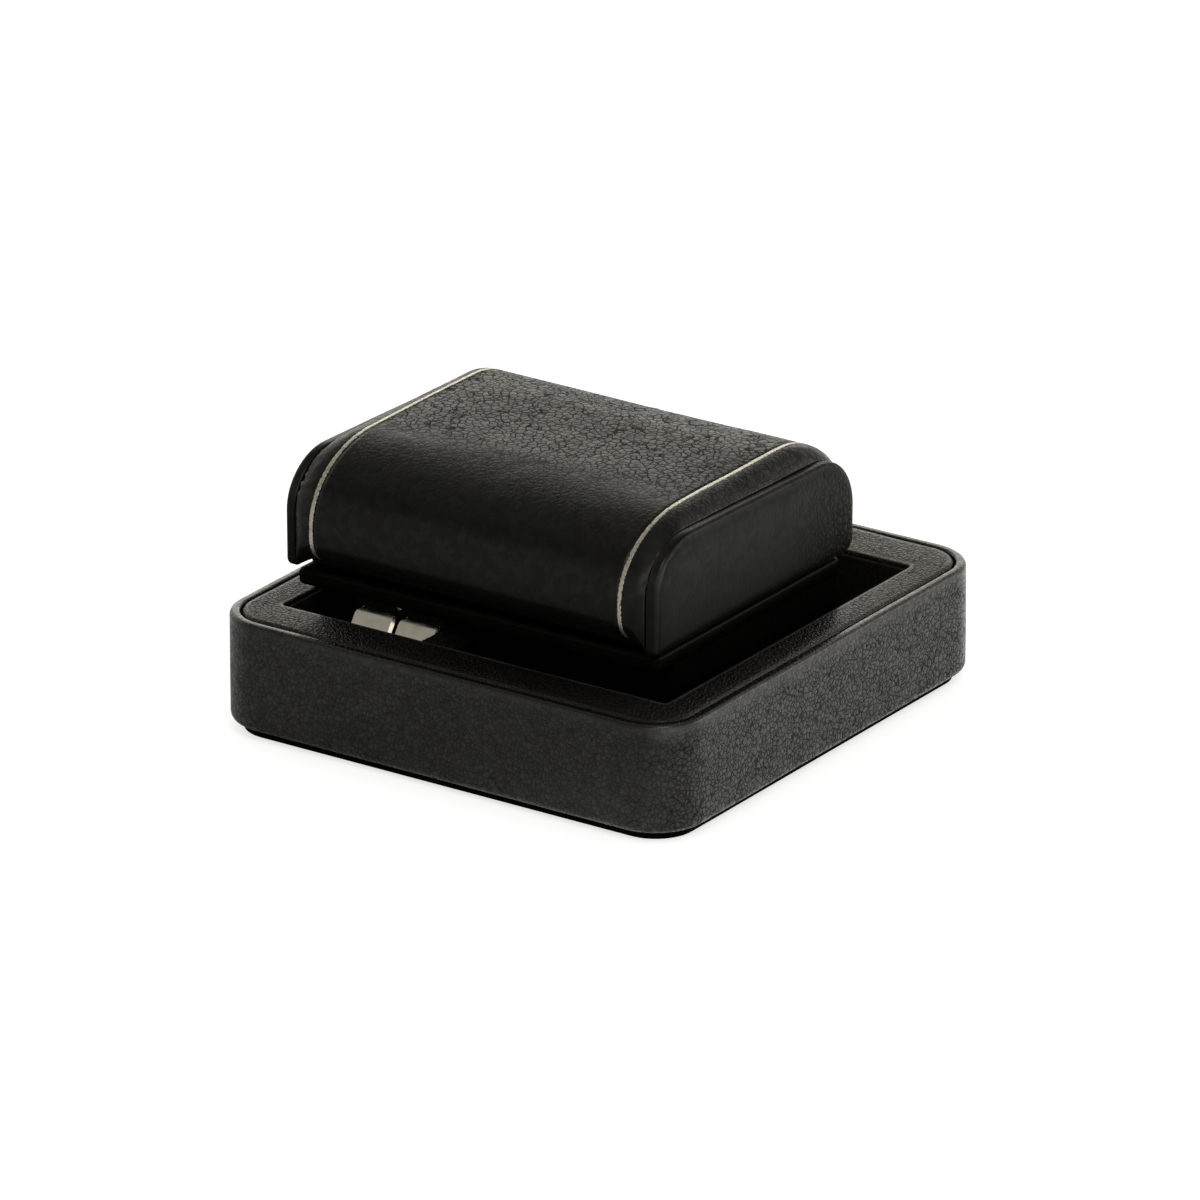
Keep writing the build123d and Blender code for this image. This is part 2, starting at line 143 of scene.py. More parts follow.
class CheekSizes(bpy.types.PropertyGroup):
    """Leather-wrapped end cheeks, seen from the end."""

    front_reach: length("Front depth", "Depth of the front upper corner", 12.5 * MM)
    front_start: length("Front height", "Height where the front corner starts", 45.5 * MM)
    front_top: length("Front top", "Height of the top at the front", 56.2 * MM)
    back_reach: length("Back depth", "Depth of the back upper corner", 11.0 * MM)
    back_start: length("Back height", "Height where the back corner starts", 43.5 * MM)
    back_top: length("Back top", "Height of the top at the back", 55.0 * MM)
    front_foot: length("Front foot", "Radius of the front lower corner", 1.6 * MM)
    back_foot: length("Back foot", "Radius of the back lower corner", 3.0 * MM)
    edge_round: length("Edge round", "Roll of the leather round the outer edge", 0.95 * MM)
    seam_round: length("Seam round", "Roll of the leather at the seam", 0.4 * MM)
    swell: length("Face swell", "How much the face swells", 0.6 * MM)


class StandFinishes(bpy.types.PropertyGroup):
    """Colours and grain of the finishes."""

    # Painted light: the walls' leather is a lighter copy of the cuff's
    wall_leather: colour("Wall leather", "Colour of the leather on the walls",
                         (0.0064, 0.0062, 0.0052))
    leather: colour("Leather", "Colour of the leather on the cuff and the frame",
                    (0.0045, 0.0044, 0.0037))
    # Painted highlight: a light colour laid along rolled edges for the light they catch
    worn: colour("Painted edge highlight", "Colour of the highlight painted along the leather's rolled edges",
                 (0.12, 0.11, 0.095))
    # Painted shade: the crease colour stands for the shade in the creases, and paints the plinth's
    # leather as a shaded copy
    crease: colour("Crease", "Colour deep in the creases, and of the plinth's leather",
                   (0.0012, 0.0012, 0.001))
    suede: colour("Suede", "Colour of the suede in the well", (0.017, 0.0155, 0.014))
    # Painted shade: the block's suede is a darker copy of the well's
    shaded_block_suede: colour("Shaded block suede", "Colour of the suede round the plinth's block",
                        (0.0035, 0.0033, 0.0031))
    velvet: colour("Velvet", "Colour of the velvet foot", (0.0035, 0.003, 0.003))
    foil: colour("Foil", "Colour of the silver foil", (0.6, 0.55, 0.48))
    nickel: colour("Nickel", "Colour of the polished nickel", (0.95, 0.89, 0.8))
    fibreboard: colour("Fibreboard", "Colour of the boards inside", (0.28, 0.2, 0.13))
    foam: colour("Foam", "Colour of the foam", (0.06, 0.06, 0.06))
    steel: colour("Steel", "Colour of screws, springs and magnets", (0.4, 0.4, 0.4))
    black_steel: colour("Blackened steel", "Colour of the catch's case", (0.012, 0.012, 0.012))
    pillow_grain: length("Cuff grain", "Size of the pebbles on the cuff", 1.5 * MM)
    wall_grain: length("Wall grain", "Size of the pebbles on the walls", 1.1 * MM)
    frame_grain: length("Frame grain", "Size of the pebbles on the frame", 0.95 * MM)
    suede_nap: length("Suede nap", "Size of the suede's mottle", 0.9 * MM)


class StageSettings(bpy.types.PropertyGroup):
    """Camera, floor and lamps."""

    azimuth: FloatProperty(name="Azimuth", description="Camera's turn round the stand",
                           default=math.radians(34.37), subtype="ANGLE")
    elevation: FloatProperty(name="Elevation", description="Camera's height above the floor",
                             default=math.radians(21.94), subtype="ANGLE")
    roll: FloatProperty(name="Roll", description="Camera's roll", subtype="ANGLE",
                        default=math.radians(-0.094))
    distance: length("Distance", "Distance from the camera to the stand", 2307.3 * MM)
    aim_height: length("Aim height", "How far above the origin the camera aims", 19.73 * MM)
    lens: FloatProperty(name="Lens", description="Focal length in millimetres", default=348.73,
                        unit="CAMERA")
    floor: colour("Floor", "Colour of the floor", (0.9, 0.91, 0.97))
    floor_glow: FloatProperty(name="Floor glow", default=0.66, min=0.0,
                              description="What is added to the floor where it is seen")
    front_share: FloatProperty(name="Front share", default=0.0, min=0.0, max=1.0,
                               description="Share of the glow that gloss shows at the front left")
    sky_level: FloatProperty(name="Sky level", description="Strength of the soft light all round",
                             default=0.5, min=0.0)
    ceiling_level: FloatProperty(name="Ceiling level", default=0.3, min=0.0,
                                 description="How bright the ceiling shows in gloss")
    front_level: FloatProperty(name="Front level", default=0.45, min=0.0,
                               description="How bright the front left shows in gloss")
    light_tint: colour("Light tint", "Colour of the soft light and the lamps",
                       (1.0, 0.985, 0.89))
    lamp_level: FloatProperty(name="Lamp level", description="Share of the lamps' own power",
                              default=1.0, min=0.0)


# Outlines and meshes

def unit_vector(v):
    """Vector of length one."""
    return v / np.linalg.norm(v)


def rounded_profile(corners, steps=6):
    """Closed outline whose corners are rounded; each corner is (u, v, radius)."""
    result = []
    for k, (u, v, radius) in enumerate(corners):
        here = np.array((u, v))
        if radius == 0:
            result.append(here)
            continue
        before = unit_vector(np.array(corners[k - 1][:2]) - here)
        after = unit_vector(np.array(corners[(k + 1) % len(corners)][:2]) - here)
        half = math.acos(np.clip(before @ after, -1, 1)) / 2
        centre = here + unit_vector(before + after) * radius / math.sin(half)
        start = here + before * radius / math.tan(half) - centre
        end = here + after * radius / math.tan(half) - centre
        sweep = math.pi - 2 * half
        for share in np.linspace(0, 1, steps + 1):
            bent = math.sin((1 - share) * sweep) * start + math.sin(share * sweep) * end
            result.append(centre + bent / math.sin(sweep))
    return np.array(result)


def with_more_points(outline, longest):
    """Closed outline with extra points, so that no run is longer than asked."""
    result = []
    for here, following in zip(outline, np.roll(outline, -1, axis=0)):
        runs = max(1, math.ceil(np.linalg.norm(following - here) / longest))
        result.extend(here + (following - here) * k / runs for k in range(runs))
    return np.array(result)


CORNER_STEPS = 12
SIDE_STEPS = 48
PLAN_CORNERS = [CORNER_STEPS // 2 + k * (CORNER_STEPS + SIDE_STEPS) for k in range(4)]
ROUND_STEPS = 7
SWELL_FULLNESS = 0.35
UNEVEN = {
    # piece: depth of the waves, length of the waves, seed
    "walls": (0.07 * MM, 14 * MM, 1),
    "frame": (0.06 * MM, 11 * MM, 2),
    "plinth": (0.06 * MM, 12 * MM, 3),
    "cuff": (0.10 * MM, 16 * MM, 4),
    "left cheek": (0.05 * MM, 9 * MM, 4),
    "right cheek": (0.05 * MM, 9 * MM, 6),
}


def plan_loop(half_x, half_y, corner, middle_y=0.0):
    """Points round a rounded rectangle in plan, anticlockwise from its right side."""
    points = []
    for turn, (sign_x, sign_y) in enumerate(((1, 1), (-1, 1), (-1, -1), (1, -1))):
        centre = np.array((sign_x * (half_x - corner), sign_y * (half_y - corner)))
        angles = np.radians(90 * turn + 90 * np.arange(CORNER_STEPS + 1) / CORNER_STEPS)
        points.extend(centre + corner * np.stack((np.cos(angles), np.sin(angles)), axis=1))
        reach = 2 * ((half_x if turn % 2 == 0 else half_y) - corner)
        leaving = angles[0] + math.pi / 2
        along = np.array((-math.sin(leaving), math.cos(leaving)))
        start = points[-1]
        points.extend(start + along * reach * k / SIDE_STEPS for k in range(1, SIDE_STEPS))
    return np.array(points) + np.array((0.0, middle_y))


def set_in(corners, amount):
    """Corners of an end outline that is set in evenly."""
    return np.array(corners) - np.array((0.0, 0.0, amount, amount))


def end_loop(corners, arc_steps, top_steps, side_steps):
    """Points round an end outline in Y and Z, anticlockwise seen from the right.

    Each corner is (middle y, middle z, reach in y, reach in z); they start at the front crown
    and go down to the feet, back and up.
    """
    arcs = []
    for corner, start in zip(corners, (90, 180, 270, 0)):
        angles = np.radians(start + 90 * np.arange(arc_steps + 1) / arc_steps)
        arcs.append(np.stack((corner[0] + corner[2] * np.cos(angles),
                              corner[1] + corner[3] * np.sin(angles)), axis=1))
    points = []
    for arc, following, steps in zip(arcs, arcs[1:] + arcs[:1],
                                     (side_steps, top_steps, side_steps, top_steps)):
        points.extend(arc)
        run = following[0] - arc[-1]
        points.extend(arc[-1] + run * k / steps for k in range(1, steps))
    return np.array(points)


def at_height(loop, height):
    """Plan loop lifted to a height."""
    return np.column_stack((loop, np.full(len(loop), height)))


def at_station(loop, x):
    """End loop moved along the cuff to a station."""
    return np.column_stack((np.full(len(loop), x), loop))


def lofted(loops, closed):
    """Points and faces of a skin through loops with the same number of points."""
    count = len(loops[0])
    rows = list(range(len(loops)))
    pairs = list(zip(rows, rows[1:]))
    if closed:
        pairs.append((rows[-1], 0))
    faces = []
    for low, high in pairs:
        for i in range(count):
            j = (i + 1) % count
            faces.append((low * count + i, low * count + j, high * count + j, high * count + i))
    return np.concatenate(loops), faces


def filled(points, faces, first, loop_length, corners, rise):
    """Fills a loop with a grid of faces; rise is how far the grid's middle moves."""
    c0, c1, c2, c3 = corners
    across, along = c1 - c0, c2 - c1
    grid = np.full((across + 1, along + 1), -1)
    for i in range(across + 1):
        grid[i, 0] = first + (c0 + i) % loop_length
        grid[i, along] = first + (c3 - i) % loop_length
    for j in range(along + 1):
        grid[across, j] = first + (c1 + j) % loop_length
        grid[0, j] = first + (c0 - j) % loop_length
    edge = {key: points[index] for key, index in np.ndenumerate(grid) if index >= 0}
    made = []
    for i in range(1, across):
        for j in range(1, along):
            u, v = i / across, j / along
            sides = (1 - v) * edge[i, 0] + v * edge[i, along]
            sides = sides + (1 - u) * edge[0, j] + u * edge[across, j]
            ends = (1 - u) * (1 - v) * edge[0, 0] + u * (1 - v) * edge[across, 0]
            ends = ends + (1 - u) * v * edge[0, along] + u * v * edge[across, along]
            grid[i, j] = len(points) + len(made)
            swell = (4 * u * (1 - u) * 4 * v * (1 - v)) ** SWELL_FULLNESS
            made.append(sides - ends + swell * np.array(rise))
    faces = faces + [
        (grid[i, j], grid[i + 1, j], grid[i + 1, j + 1], grid[i, j + 1])
        for i in range(across) for j in range(along)
    ]
    return np.concatenate((points, np.array(made))), faces


def wrapped_board(loops, corners, first_rise, last_rise):
    """Closed skin through loops, with the first and the last loop filled."""
    points, faces = lofted(loops, closed=False)
    count = len(loops[0])
    points, faces = filled(points, faces, 0, count, corners, first_rise)
    return filled(points, faces, (len(loops) - 1) * count, count, corners, last_rise)


def quarter_turn(steps=ROUND_STEPS):
    """Angles of a quarter circle."""
    return np.linspace(0, math.pi / 2, steps)


def near(across, along, spot, reach):
    """Mask that is one at a spot and fades within a reach."""
    return np.exp(-(np.hypot(across - spot[0], along - spot[1]) / reach) ** 2)


def uneven(points, depth, wave, seed):
    """Points moved a little by smooth noise, as hand-laid leather is."""
    noise.seed_set(seed)
    moved = [depth * noise.noise_vector(Vector(p) / wave) for p in points]
    return points + np.array(moved)


def new_mesh(name, points, faces):
    """Mesh whose faces all look outward."""
    mesh = bpy.data.meshes.new(name)
    mesh.from_pydata([tuple(p) for p in points], [], [tuple(map(int, f)) for f in faces])
    shape = bmesh.new()
    shape.from_mesh(mesh)
    bmesh.ops.recalc_face_normals(shape, faces=shape.faces)
    shape.to_mesh(mesh)
    shape.free()
    return mesh


def add_piece(name, points, faces, finish, body, replaced):
    """Smooth mesh that rides on a body in place of its plain nodes."""
    mesh = new_mesh(name, points, faces)
    mesh.shade_smooth()
    mesh.materials.append(finish)
    piece = bpy.data.objects.new(name, mesh)
    bpy.context.scene.collection.objects.link(piece)
    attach(piece, body)
    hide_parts(*replaced)
    return piece


def set_mask(piece, name, values):
    """Number for each point of a piece, or one for them all, which its material reads."""
    mask = piece.data.attributes.new(name, "FLOAT", "POINT")
    every = np.clip(values, 0, 1) * np.ones(len(mask.data))
    mask.data.foreach_set("value", every.astype(np.float32))


# Materials

MIX_SHARE, MIX_FIRST, MIX_SECOND, MIX_COLOUR = 0, 6, 7, 2
DOME_POWER = 2.2


def new_group(name, inputs, outputs):
    """Shader node group with named sockets.

    Returns the group, what comes in, what goes out and the place on the surface.
    """
    group = bpy.data.node_groups.new(name, "ShaderNodeTree")
    for label, value in inputs.items():
        socket = group.interface.new_socket(name=label, in_out="INPUT",
                                            socket_type="NodeSocketFloat")
        socket.default_value = value
    for label in outputs:
        group.interface.new_socket(name=label, in_out="OUTPUT", socket_type="NodeSocketFloat")
    source = group.nodes.new("NodeGroupInput").outputs
    result = group.nodes.new("NodeGroupOutput").inputs
    return group, source, result, place_on(group)


def place_on(tree):
    """Place on the object's surface."""
    return tree.nodes.new("ShaderNodeTexCoord").outputs["Object"]


def add_node(tree, kind, settings=None, **values):
    """Node with its settings made and its named sockets set or linked."""
    made = tree.nodes.new(kind)
    for key, value in (settings or {}).items():
        setattr(made, key, value)
    for key, value in values.items():
        fill_socket(tree, made.inputs[key.replace("_", " ")], value)
    return made


def fill_socket(tree, socket, value):
    """Links a socket, or sets its value."""
    if isinstance(value, bpy.types.NodeSocket):
        tree.links.new(value, socket)
    else:
        socket.default_value = value


def arithmetic(tree, operation, first, second=0.0, clamp=False):
    """Result of a sum on numbers."""
    made = tree.nodes.new("ShaderNodeMath")
    made.operation = operation
    made.use_clamp = clamp
    fill_socket(tree, made.inputs[0], first)
    fill_socket(tree, made.inputs[1], second)
    return made.outputs[0]


def vector_sum(tree, operation, first, second):
    """Result of a sum on vectors."""
    made = tree.nodes.new("ShaderNodeVectorMath")
    made.operation = operation
    fill_socket(tree, made.inputs[0], first)
    if operation == "SCALE":
        fill_socket(tree, made.inputs["Scale"], second)
    else:
        fill_socket(tree, made.inputs[1], second)
    return made.outputs["Value" if operation == "DOT_PRODUCT" else "Vector"]


def ramp(tree, value, low, high, start=0.0, end=1.0):
    """Smooth step of a value from low to high."""
    made = add_node(tree, "ShaderNodeMapRange", {"interpolation_type": "SMOOTHSTEP"},
                    Value=value, From_Min=low, From_Max=high, To_Min=start, To_Max=end)
    return made.outputs["Result"]


def blended(tree, share, first, second):
    """Colour between two colours."""
    made = tree.nodes.new("ShaderNodeMix")
    made.data_type = "RGBA"
    fill_socket(tree, made.inputs[MIX_SHARE], share)
    fill_socket(tree, made.inputs[MIX_FIRST], first)
    fill_socket(tree, made.inputs[MIX_SECOND], second)
    return made.outputs[MIX_COLOUR]


def noise_value(tree, place, scale, detail, **values):
    """Smooth noise over the surface."""
    made = add_node(tree, "ShaderNodeTexNoise", Vector=place, Scale=scale, Detail=detail, **values)
    return made.outputs["Fac"]


def cell_edge(tree, cells, scale):
    """Distance to the edge of a cell."""
    made = add_node(tree, "ShaderNodeTexVoronoi", {"feature": "DISTANCE_TO_EDGE"},
                    Vector=cells, Scale=scale)
    return made.outputs["Distance"]


def mesh_mask(tree, name):
    """Number that a mesh holds for each of its points."""
    return add_node(tree, "ShaderNodeAttribute", {"attribute_name": name}).outputs["Fac"]


def domed(tree, distance, reach):
    """Height of a dome over a distance from the edge of a cell."""
    left = arithmetic(tree, "SUBTRACT", 1.0, arithmetic(tree, "DIVIDE", distance, reach),
                      clamp=True)
    return arithmetic(tree, "SUBTRACT", 1.0, arithmetic(tree, "POWER", left, DOME_POWER))


def make_leather_grain():
    """Pebble grain: warped cells with creases between them, and fine pores on top."""
    bend_scale, bend_reach = 520.0, 0.8 * MM
    patch_scale, tone_scale, pore_scale = 210.0, 75.0, 6500.0
    minor_scale = 2.1
    pebble_reach, minor_reach = 0.42, 0.36
    minor_height, pore_height = 0.2, 0.015
    patch_steps = (0.36, 0.62, 0.84, 1.0)
    crease_steps = (0.02, 0.15, 0.92, 0.0)
    minor_steps = (0.03, 0.14, 0.3, 0.0)
    tone_steps = (0.3, 0.7)
    group, source, result, place = new_group(
        "leather grain", {"Cell Size": 1.2 * MM, "Taut": 0.0},
        ("Height", "Crease", "Tone", "Pebble"))
    bend = add_node(group, "ShaderNodeTexNoise", Vector=place, Scale=bend_scale, Detail=2.0)
    bend = vector_sum(group, "SUBTRACT", bend.outputs["Color"], (0.5, 0.5, 0.5))
    bend = vector_sum(group, "SCALE", bend, bend_reach)
    bent = vector_sum(group, "ADD", place, bend)
    per_cell = arithmetic(group, "DIVIDE", 1.0, source["Cell Size"])
    cells = vector_sum(group, "SCALE", bent, per_cell)
    big = cell_edge(group, cells, 1.0)
    small = cell_edge(group, cells, minor_scale)

    patches = ramp(group, noise_value(group, place, patch_scale, 1.0), *patch_steps)
    slack = arithmetic(group, "SUBTRACT", 1.0, source["Taut"])
    depth = arithmetic(group, "MULTIPLY", patches, slack)
    pebble = arithmetic(group, "MULTIPLY", domed(group, big, pebble_reach), 1 - minor_height)
    minor = arithmetic(group, "MULTIPLY", domed(group, small, minor_reach), minor_height)
    body = arithmetic(group, "MULTIPLY", arithmetic(group, "ADD", pebble, minor), depth)
    pores = arithmetic(group, "MULTIPLY", noise_value(group, place, pore_scale, 1.0), pore_height)
    group.links.new(arithmetic(group, "ADD", body, pores), result["Height"])

    crease = arithmetic(group, "MAXIMUM", ramp(group, big, *crease_steps),
                        ramp(group, small, *minor_steps))
    crease = arithmetic(group, "MULTIPLY", crease, depth, clamp=True)
    group.links.new(crease, result["Crease"])
    shade = add_node(group, "ShaderNodeTexVoronoi", Vector=cells, Scale=1.0).outputs["Color"]
    shade = add_node(group, "ShaderNodeSeparateColor", Color=shade).outputs["Red"]
    group.links.new(shade, result["Pebble"])
    tone = ramp(group, noise_value(group, place, tone_scale, 3.0), *tone_steps)
    group.links.new(tone, result["Tone"])


def make_nap():
    """Nap of suede and velvet: soft mottle with short fibres."""
    fibre_scale, fibre_height = 9000.0, 0.4
    mottle_steps = (0.34, 0.66)
    group, source, result, place = new_group(
        "fabric nap", {"Mottle Size": 0.9 * MM}, ("Height", "Mottle"))
    per_spot = arithmetic(group, "DIVIDE", 1.0, source["Mottle Size"])
    spots = vector_sum(group, "SCALE", place, per_spot)
    mottle = noise_value(group, spots, 1.0, 4.0, Roughness=0.62)
    group.links.new(ramp(group, mottle, *mottle_steps), result["Mottle"])
    fibres = noise_value(group, place, fibre_scale, 2.0)
    fibres = arithmetic(group, "MULTIPLY", fibres, fibre_height)
    group.links.new(arithmetic(group, "ADD", mottle, fibres), result["Height"])


def make_rubbed_marks():
    """Fine scuffs and smudges of a polished or rubbed surface, drawn out along X."""
    smudge_scale, smudge_steps = 420.0, (0.35, 0.75)
    stroke_scale, stroke_share = (900.0, 9000.0, 9000.0), 0.5
    group, source, result, place = new_group(
        "rubbed marks", {"Amount": 0.1}, ("Roughness Shift", "Height"))
    smudges = ramp(group, noise_value(group, place, smudge_scale, 4.0), *smudge_steps)
    strokes = noise_value(group, vector_sum(group, "MULTIPLY", place, stroke_scale), 1.0, 1.0)
    marks = arithmetic(group, "ADD", smudges, arithmetic(group, "MULTIPLY", strokes, stroke_share))
    shift = arithmetic(group, "MULTIPLY", marks, source["Amount"])
    group.links.new(shift, result["Roughness Shift"])
    group.links.new(strokes, result["Height"])


def new_material(name):
    """Material with its surface shader; returns its tree and the shader."""
    made = bpy.data.materials.new(name)
    made.use_nodes = True
    return made.node_tree, made.node_tree.nodes["Principled BSDF"]


def finish_named(name):
    """Finish made earlier."""
    return bpy.data.materials[name]


def place_group(tree, group, **values):
    """Node group placed in a material with its own values."""
    made = tree.nodes.new("ShaderNodeGroup")
    made.node_tree = bpy.data.node_groups[group]
    for key, value in values.items():
        fill_socket(tree, made.inputs[key.replace("_", " ")], value)
    return made


def bump(tree, shader, height, distance, strength=1.0):
    """Bump from a height that changes over the surface."""
    made = add_node(tree, "ShaderNodeBump", Height=height, Distance=distance, Strength=strength)
    tree.links.new(made.outputs["Normal"], shader.inputs["Normal"])


def make_leather(name, shade, finishes, cell, depth, gloss):
    """Black pebbled leather: its pebbles have a gloss that its creases lack.

    The mesh says where it is taut or rubbed, where a highlight is painted along an edge, and how
    much it shines.
    """
    light_tone, least_highlight = 1.2, 0.55
    plain_rough, crease_rough, tone_rough, rub_polish = 0.28, 0.35, 0.05, 0.1
    dull_pebble, bright_pebble, rub_gloss = 0.82, 1.18, 0.6
    tree, shader = new_material(name)
    rub = mesh_mask(tree, "rub")
    grain = place_group(tree, "leather grain", Cell_Size=cell, Taut=mesh_mask(tree, "taut"))
    crease = grain.outputs["Crease"]
    tone = grain.outputs["Tone"]

    lighter = [c * light_tone for c in shade]
    base = blended(tree, tone, (*shade, 1.0), (*lighter, 1.0))
    # Painted shade: the creases darken to the crease colour
    base = blended(tree, crease, base, (*finishes.crease, 1.0))
    # Painted highlight: the edges that the mesh marks take the highlight colour, patchy with the
    # tone
    highlight_share = arithmetic(tree, "MULTIPLY", mesh_mask(tree, "wear"),
                        ramp(tree, tone, 0.0, 1.0, least_highlight, 1.0))
    base = blended(tree, highlight_share, base, (*finishes.worn, 1.0))
    tree.links.new(base, shader.inputs["Base Color"])

    rough = arithmetic(tree, "MULTIPLY", crease, crease_rough)
    rough = arithmetic(tree, "ADD", rough, plain_rough)
    rough = arithmetic(tree, "ADD", rough, arithmetic(tree, "MULTIPLY", tone, tone_rough))
    rough = arithmetic(tree, "SUBTRACT", rough, arithmetic(tree, "MULTIPLY", rub, rub_polish))
    tree.links.new(rough, shader.inputs["Roughness"])

    pebbles = ramp(tree, grain.outputs["Pebble"], 0.0, 1.0, dull_pebble, bright_pebble)
    coat = arithmetic(tree, "MULTIPLY", mesh_mask(tree, "shine"), pebbles)
    coat = arithmetic(tree, "MULTIPLY", coat, arithmetic(tree, "SUBTRACT", 1.0, crease))
    coat = arithmetic(tree, "ADD", coat, arithmetic(tree, "MULTIPLY", rub, rub_gloss))
    tree.links.new(coat, shader.inputs["Coat Weight"])
    shader.inputs["Coat Roughness"].default_value = 0.24
    shader.inputs["Specular IOR Level"].default_value = gloss
    shader.inputs["Specular Tint"].default_value = (1.0, 0.96, 0.86, 1.0)
    bump(tree, shader, grain.outputs["Height"], depth)


def mottled(tree, shader, shade, size, darkest):
    """Colours a napped surface from a darker shade to its own; returns the nap."""
    nap = place_group(tree, "fabric nap", Mottle_Size=size)
    darker = [c * darkest for c in shade]
    base = blended(tree, nap.outputs["Mottle"], (*darker, 1.0), (*shade, 1.0))
    tree.links.new(base, shader.inputs["Base Color"])
    return nap


def make_fabric(name, shade, mottle_size, depth, sheen):
    """Suede or velvet: matt and mottled."""
    tree, shader = new_material(name)
    nap = mottled(tree, shader, shade, mottle_size, 0.45)
    shader.inputs["Roughness"].default_value = 0.95
    shader.inputs["Specular IOR Level"].default_value = sheen
    shader.inputs["Sheen Weight"].default_value = sheen
    shader.inputs["Sheen Roughness"].default_value = 0.5
    bump(tree, shader, nap.outputs["Height"], depth, 0.8)


def make_foil(finishes):
    """Silver foil pressed on leather: it breaks up in the creases and is rubbed off at its edges.
    """
    grain_share, chip_scale = 0.55, 2600.0
    crease_loss, edge_loss, chip_start = 0.5, 0.4, 0.62
    smooth_foil, chip_rough, lost_steps = 0.22, 0.3, (0.3, 0.58)
    tree, shader = new_material("silver foil")
    grain = place_group(tree, "leather grain", Cell_Size=finishes.pillow_grain * grain_share,
                        Taut=0.0)
    chips = noise_value(tree, place_on(tree), chip_scale, 3.0)
    lost = arithmetic(tree, "MULTIPLY", grain.outputs["Crease"], crease_loss)
    edge = arithmetic(tree, "MULTIPLY", mesh_mask(tree, "edge"), edge_loss)
    lost = arithmetic(tree, "ADD", lost, edge)
    lost = arithmetic(tree, "ADD", lost, arithmetic(tree, "SUBTRACT", chips, chip_start))
    lost = ramp(tree, lost, *lost_steps)
    tree.links.new(blended(tree, lost, (*finishes.foil, 1.0), (*finishes.leather, 1.0)),
                   shader.inputs["Base Color"])
    tree.links.new(arithmetic(tree, "SUBTRACT", 1.0, lost), shader.inputs["Metallic"])
    rough = arithmetic(tree, "ADD", arithmetic(tree, "MULTIPLY", chips, chip_rough), smooth_foil)
    tree.links.new(rough, shader.inputs["Roughness"])
    bump(tree, shader, grain.outputs["Height"], 0.05 * MM)


def make_metal(name, shade, roughness, amount):
    """Polished, plain or blackened metal with faint marks."""
    tree, shader = new_material(name)
    shift = place_group(tree, "rubbed marks", Amount=amount)
    dull = [c * 0.86 for c in shade]
    marks = arithmetic(tree, "MULTIPLY", shift.outputs["Roughness Shift"], 1 / amount)
    base = blended(tree, marks, (*shade, 1.0), (*dull, 1.0))
    tree.links.new(base, shader.inputs["Base Color"])
    shader.inputs["Metallic"].default_value = 1.0
    rough = arithmetic(tree, "ADD", shift.outputs["Roughness Shift"], roughness)
    tree.links.new(rough, shader.inputs["Roughness"])
    bump(tree, shader, shift.outputs["Height"], 0.0006 * MM)


def make_board(name, shade, size):
    """Pressed board or foam: flecked and rough."""
    tree, shader = new_material(name)
    nap = mottled(tree, shader, shade, size, 0.6)
    shader.inputs["Roughness"].default_value = 0.8
    bump(tree, shader, nap.outputs["Height"], 0.08 * MM)


def dress(names, finish):
    """Gives carried-over nodes their finish."""
    for name in names:
        mesh = frame["nodes"][name].data
        mesh.materials.clear()
        mesh.materials.append(finish)
        mesh.shade_smooth()


class STAND_OT_finishes(bpy.types.Operator):
    """Make the leather, suede, velvet, foil, nickel and inner finishes."""

    bl_idname = "stand.finishes"
    bl_label = "Finishes"

    def execute(self, context):
        finishes = context.scene.stand_finishes
        make_leather_grain()
        make_nap()
        make_rubbed_marks()
        leathers = {
            # name: colour, size of the pebbles, depth of the creases, gloss under the coat
            "cuff leather": (finishes.leather, finishes.pillow_grain, 0.75 * MM, 0.02),
            # The walls' leather is lighter than the cuff's: painted light on the walls
            "lit wall leather": (finishes.wall_leather, finishes.wall_grain, 0.85 * MM, 0.07),
            "frame leather": (finishes.leather, finishes.frame_grain, 0.6 * MM, 0.18),
            # The plinth's leather is a darker copy in the crease colour, without gloss under the
            # coat: painted shade
            "shaded plinth leather": (finishes.crease, finishes.frame_grain, 0.2 * MM, 0.0),
        }
        for name, (shade, cell, depth, gloss) in leathers.items():
            make_leather(name, shade, finishes, cell, depth, gloss)
        nap = finishes.suede_nap
        fabrics = {
            # name: colour, size of the mottle, depth of the nap, sheen
            "black suede": (finishes.suede, nap, 0.12 * MM, 0.04),
            # A darker copy of the well's suede without sheen: painted shade under the plinth's top
            "shaded block suede": (finishes.shaded_block_suede, nap, 0.12 * MM, 0.0),
            "black velvet": (finishes.velvet, nap / 2, 0.08 * MM, 0.04),
        }
        for name, (shade, mottle_size, depth, sheen) in fabrics.items():
            make_fabric(name, shade, mottle_size, depth, sheen)
        make_foil(finishes)
        metals = {
            # name: colour, roughness, amount of marks
            "polished nickel": (finishes.nickel, 0.07, 0.06),
            "plain steel": (finishes.steel, 0.3, 0.15),
            "blackened steel": (finishes.black_steel, 0.45, 0.15),
        }
        for name, (shade, roughness, amount) in metals.items():
            make_metal(name, shade, roughness, amount)
        make_board("fibreboard", finishes.fibreboard, 0.6 * MM)
        make_board("foam", finishes.foam, 0.5 * MM)
        return {"FINISHED"}


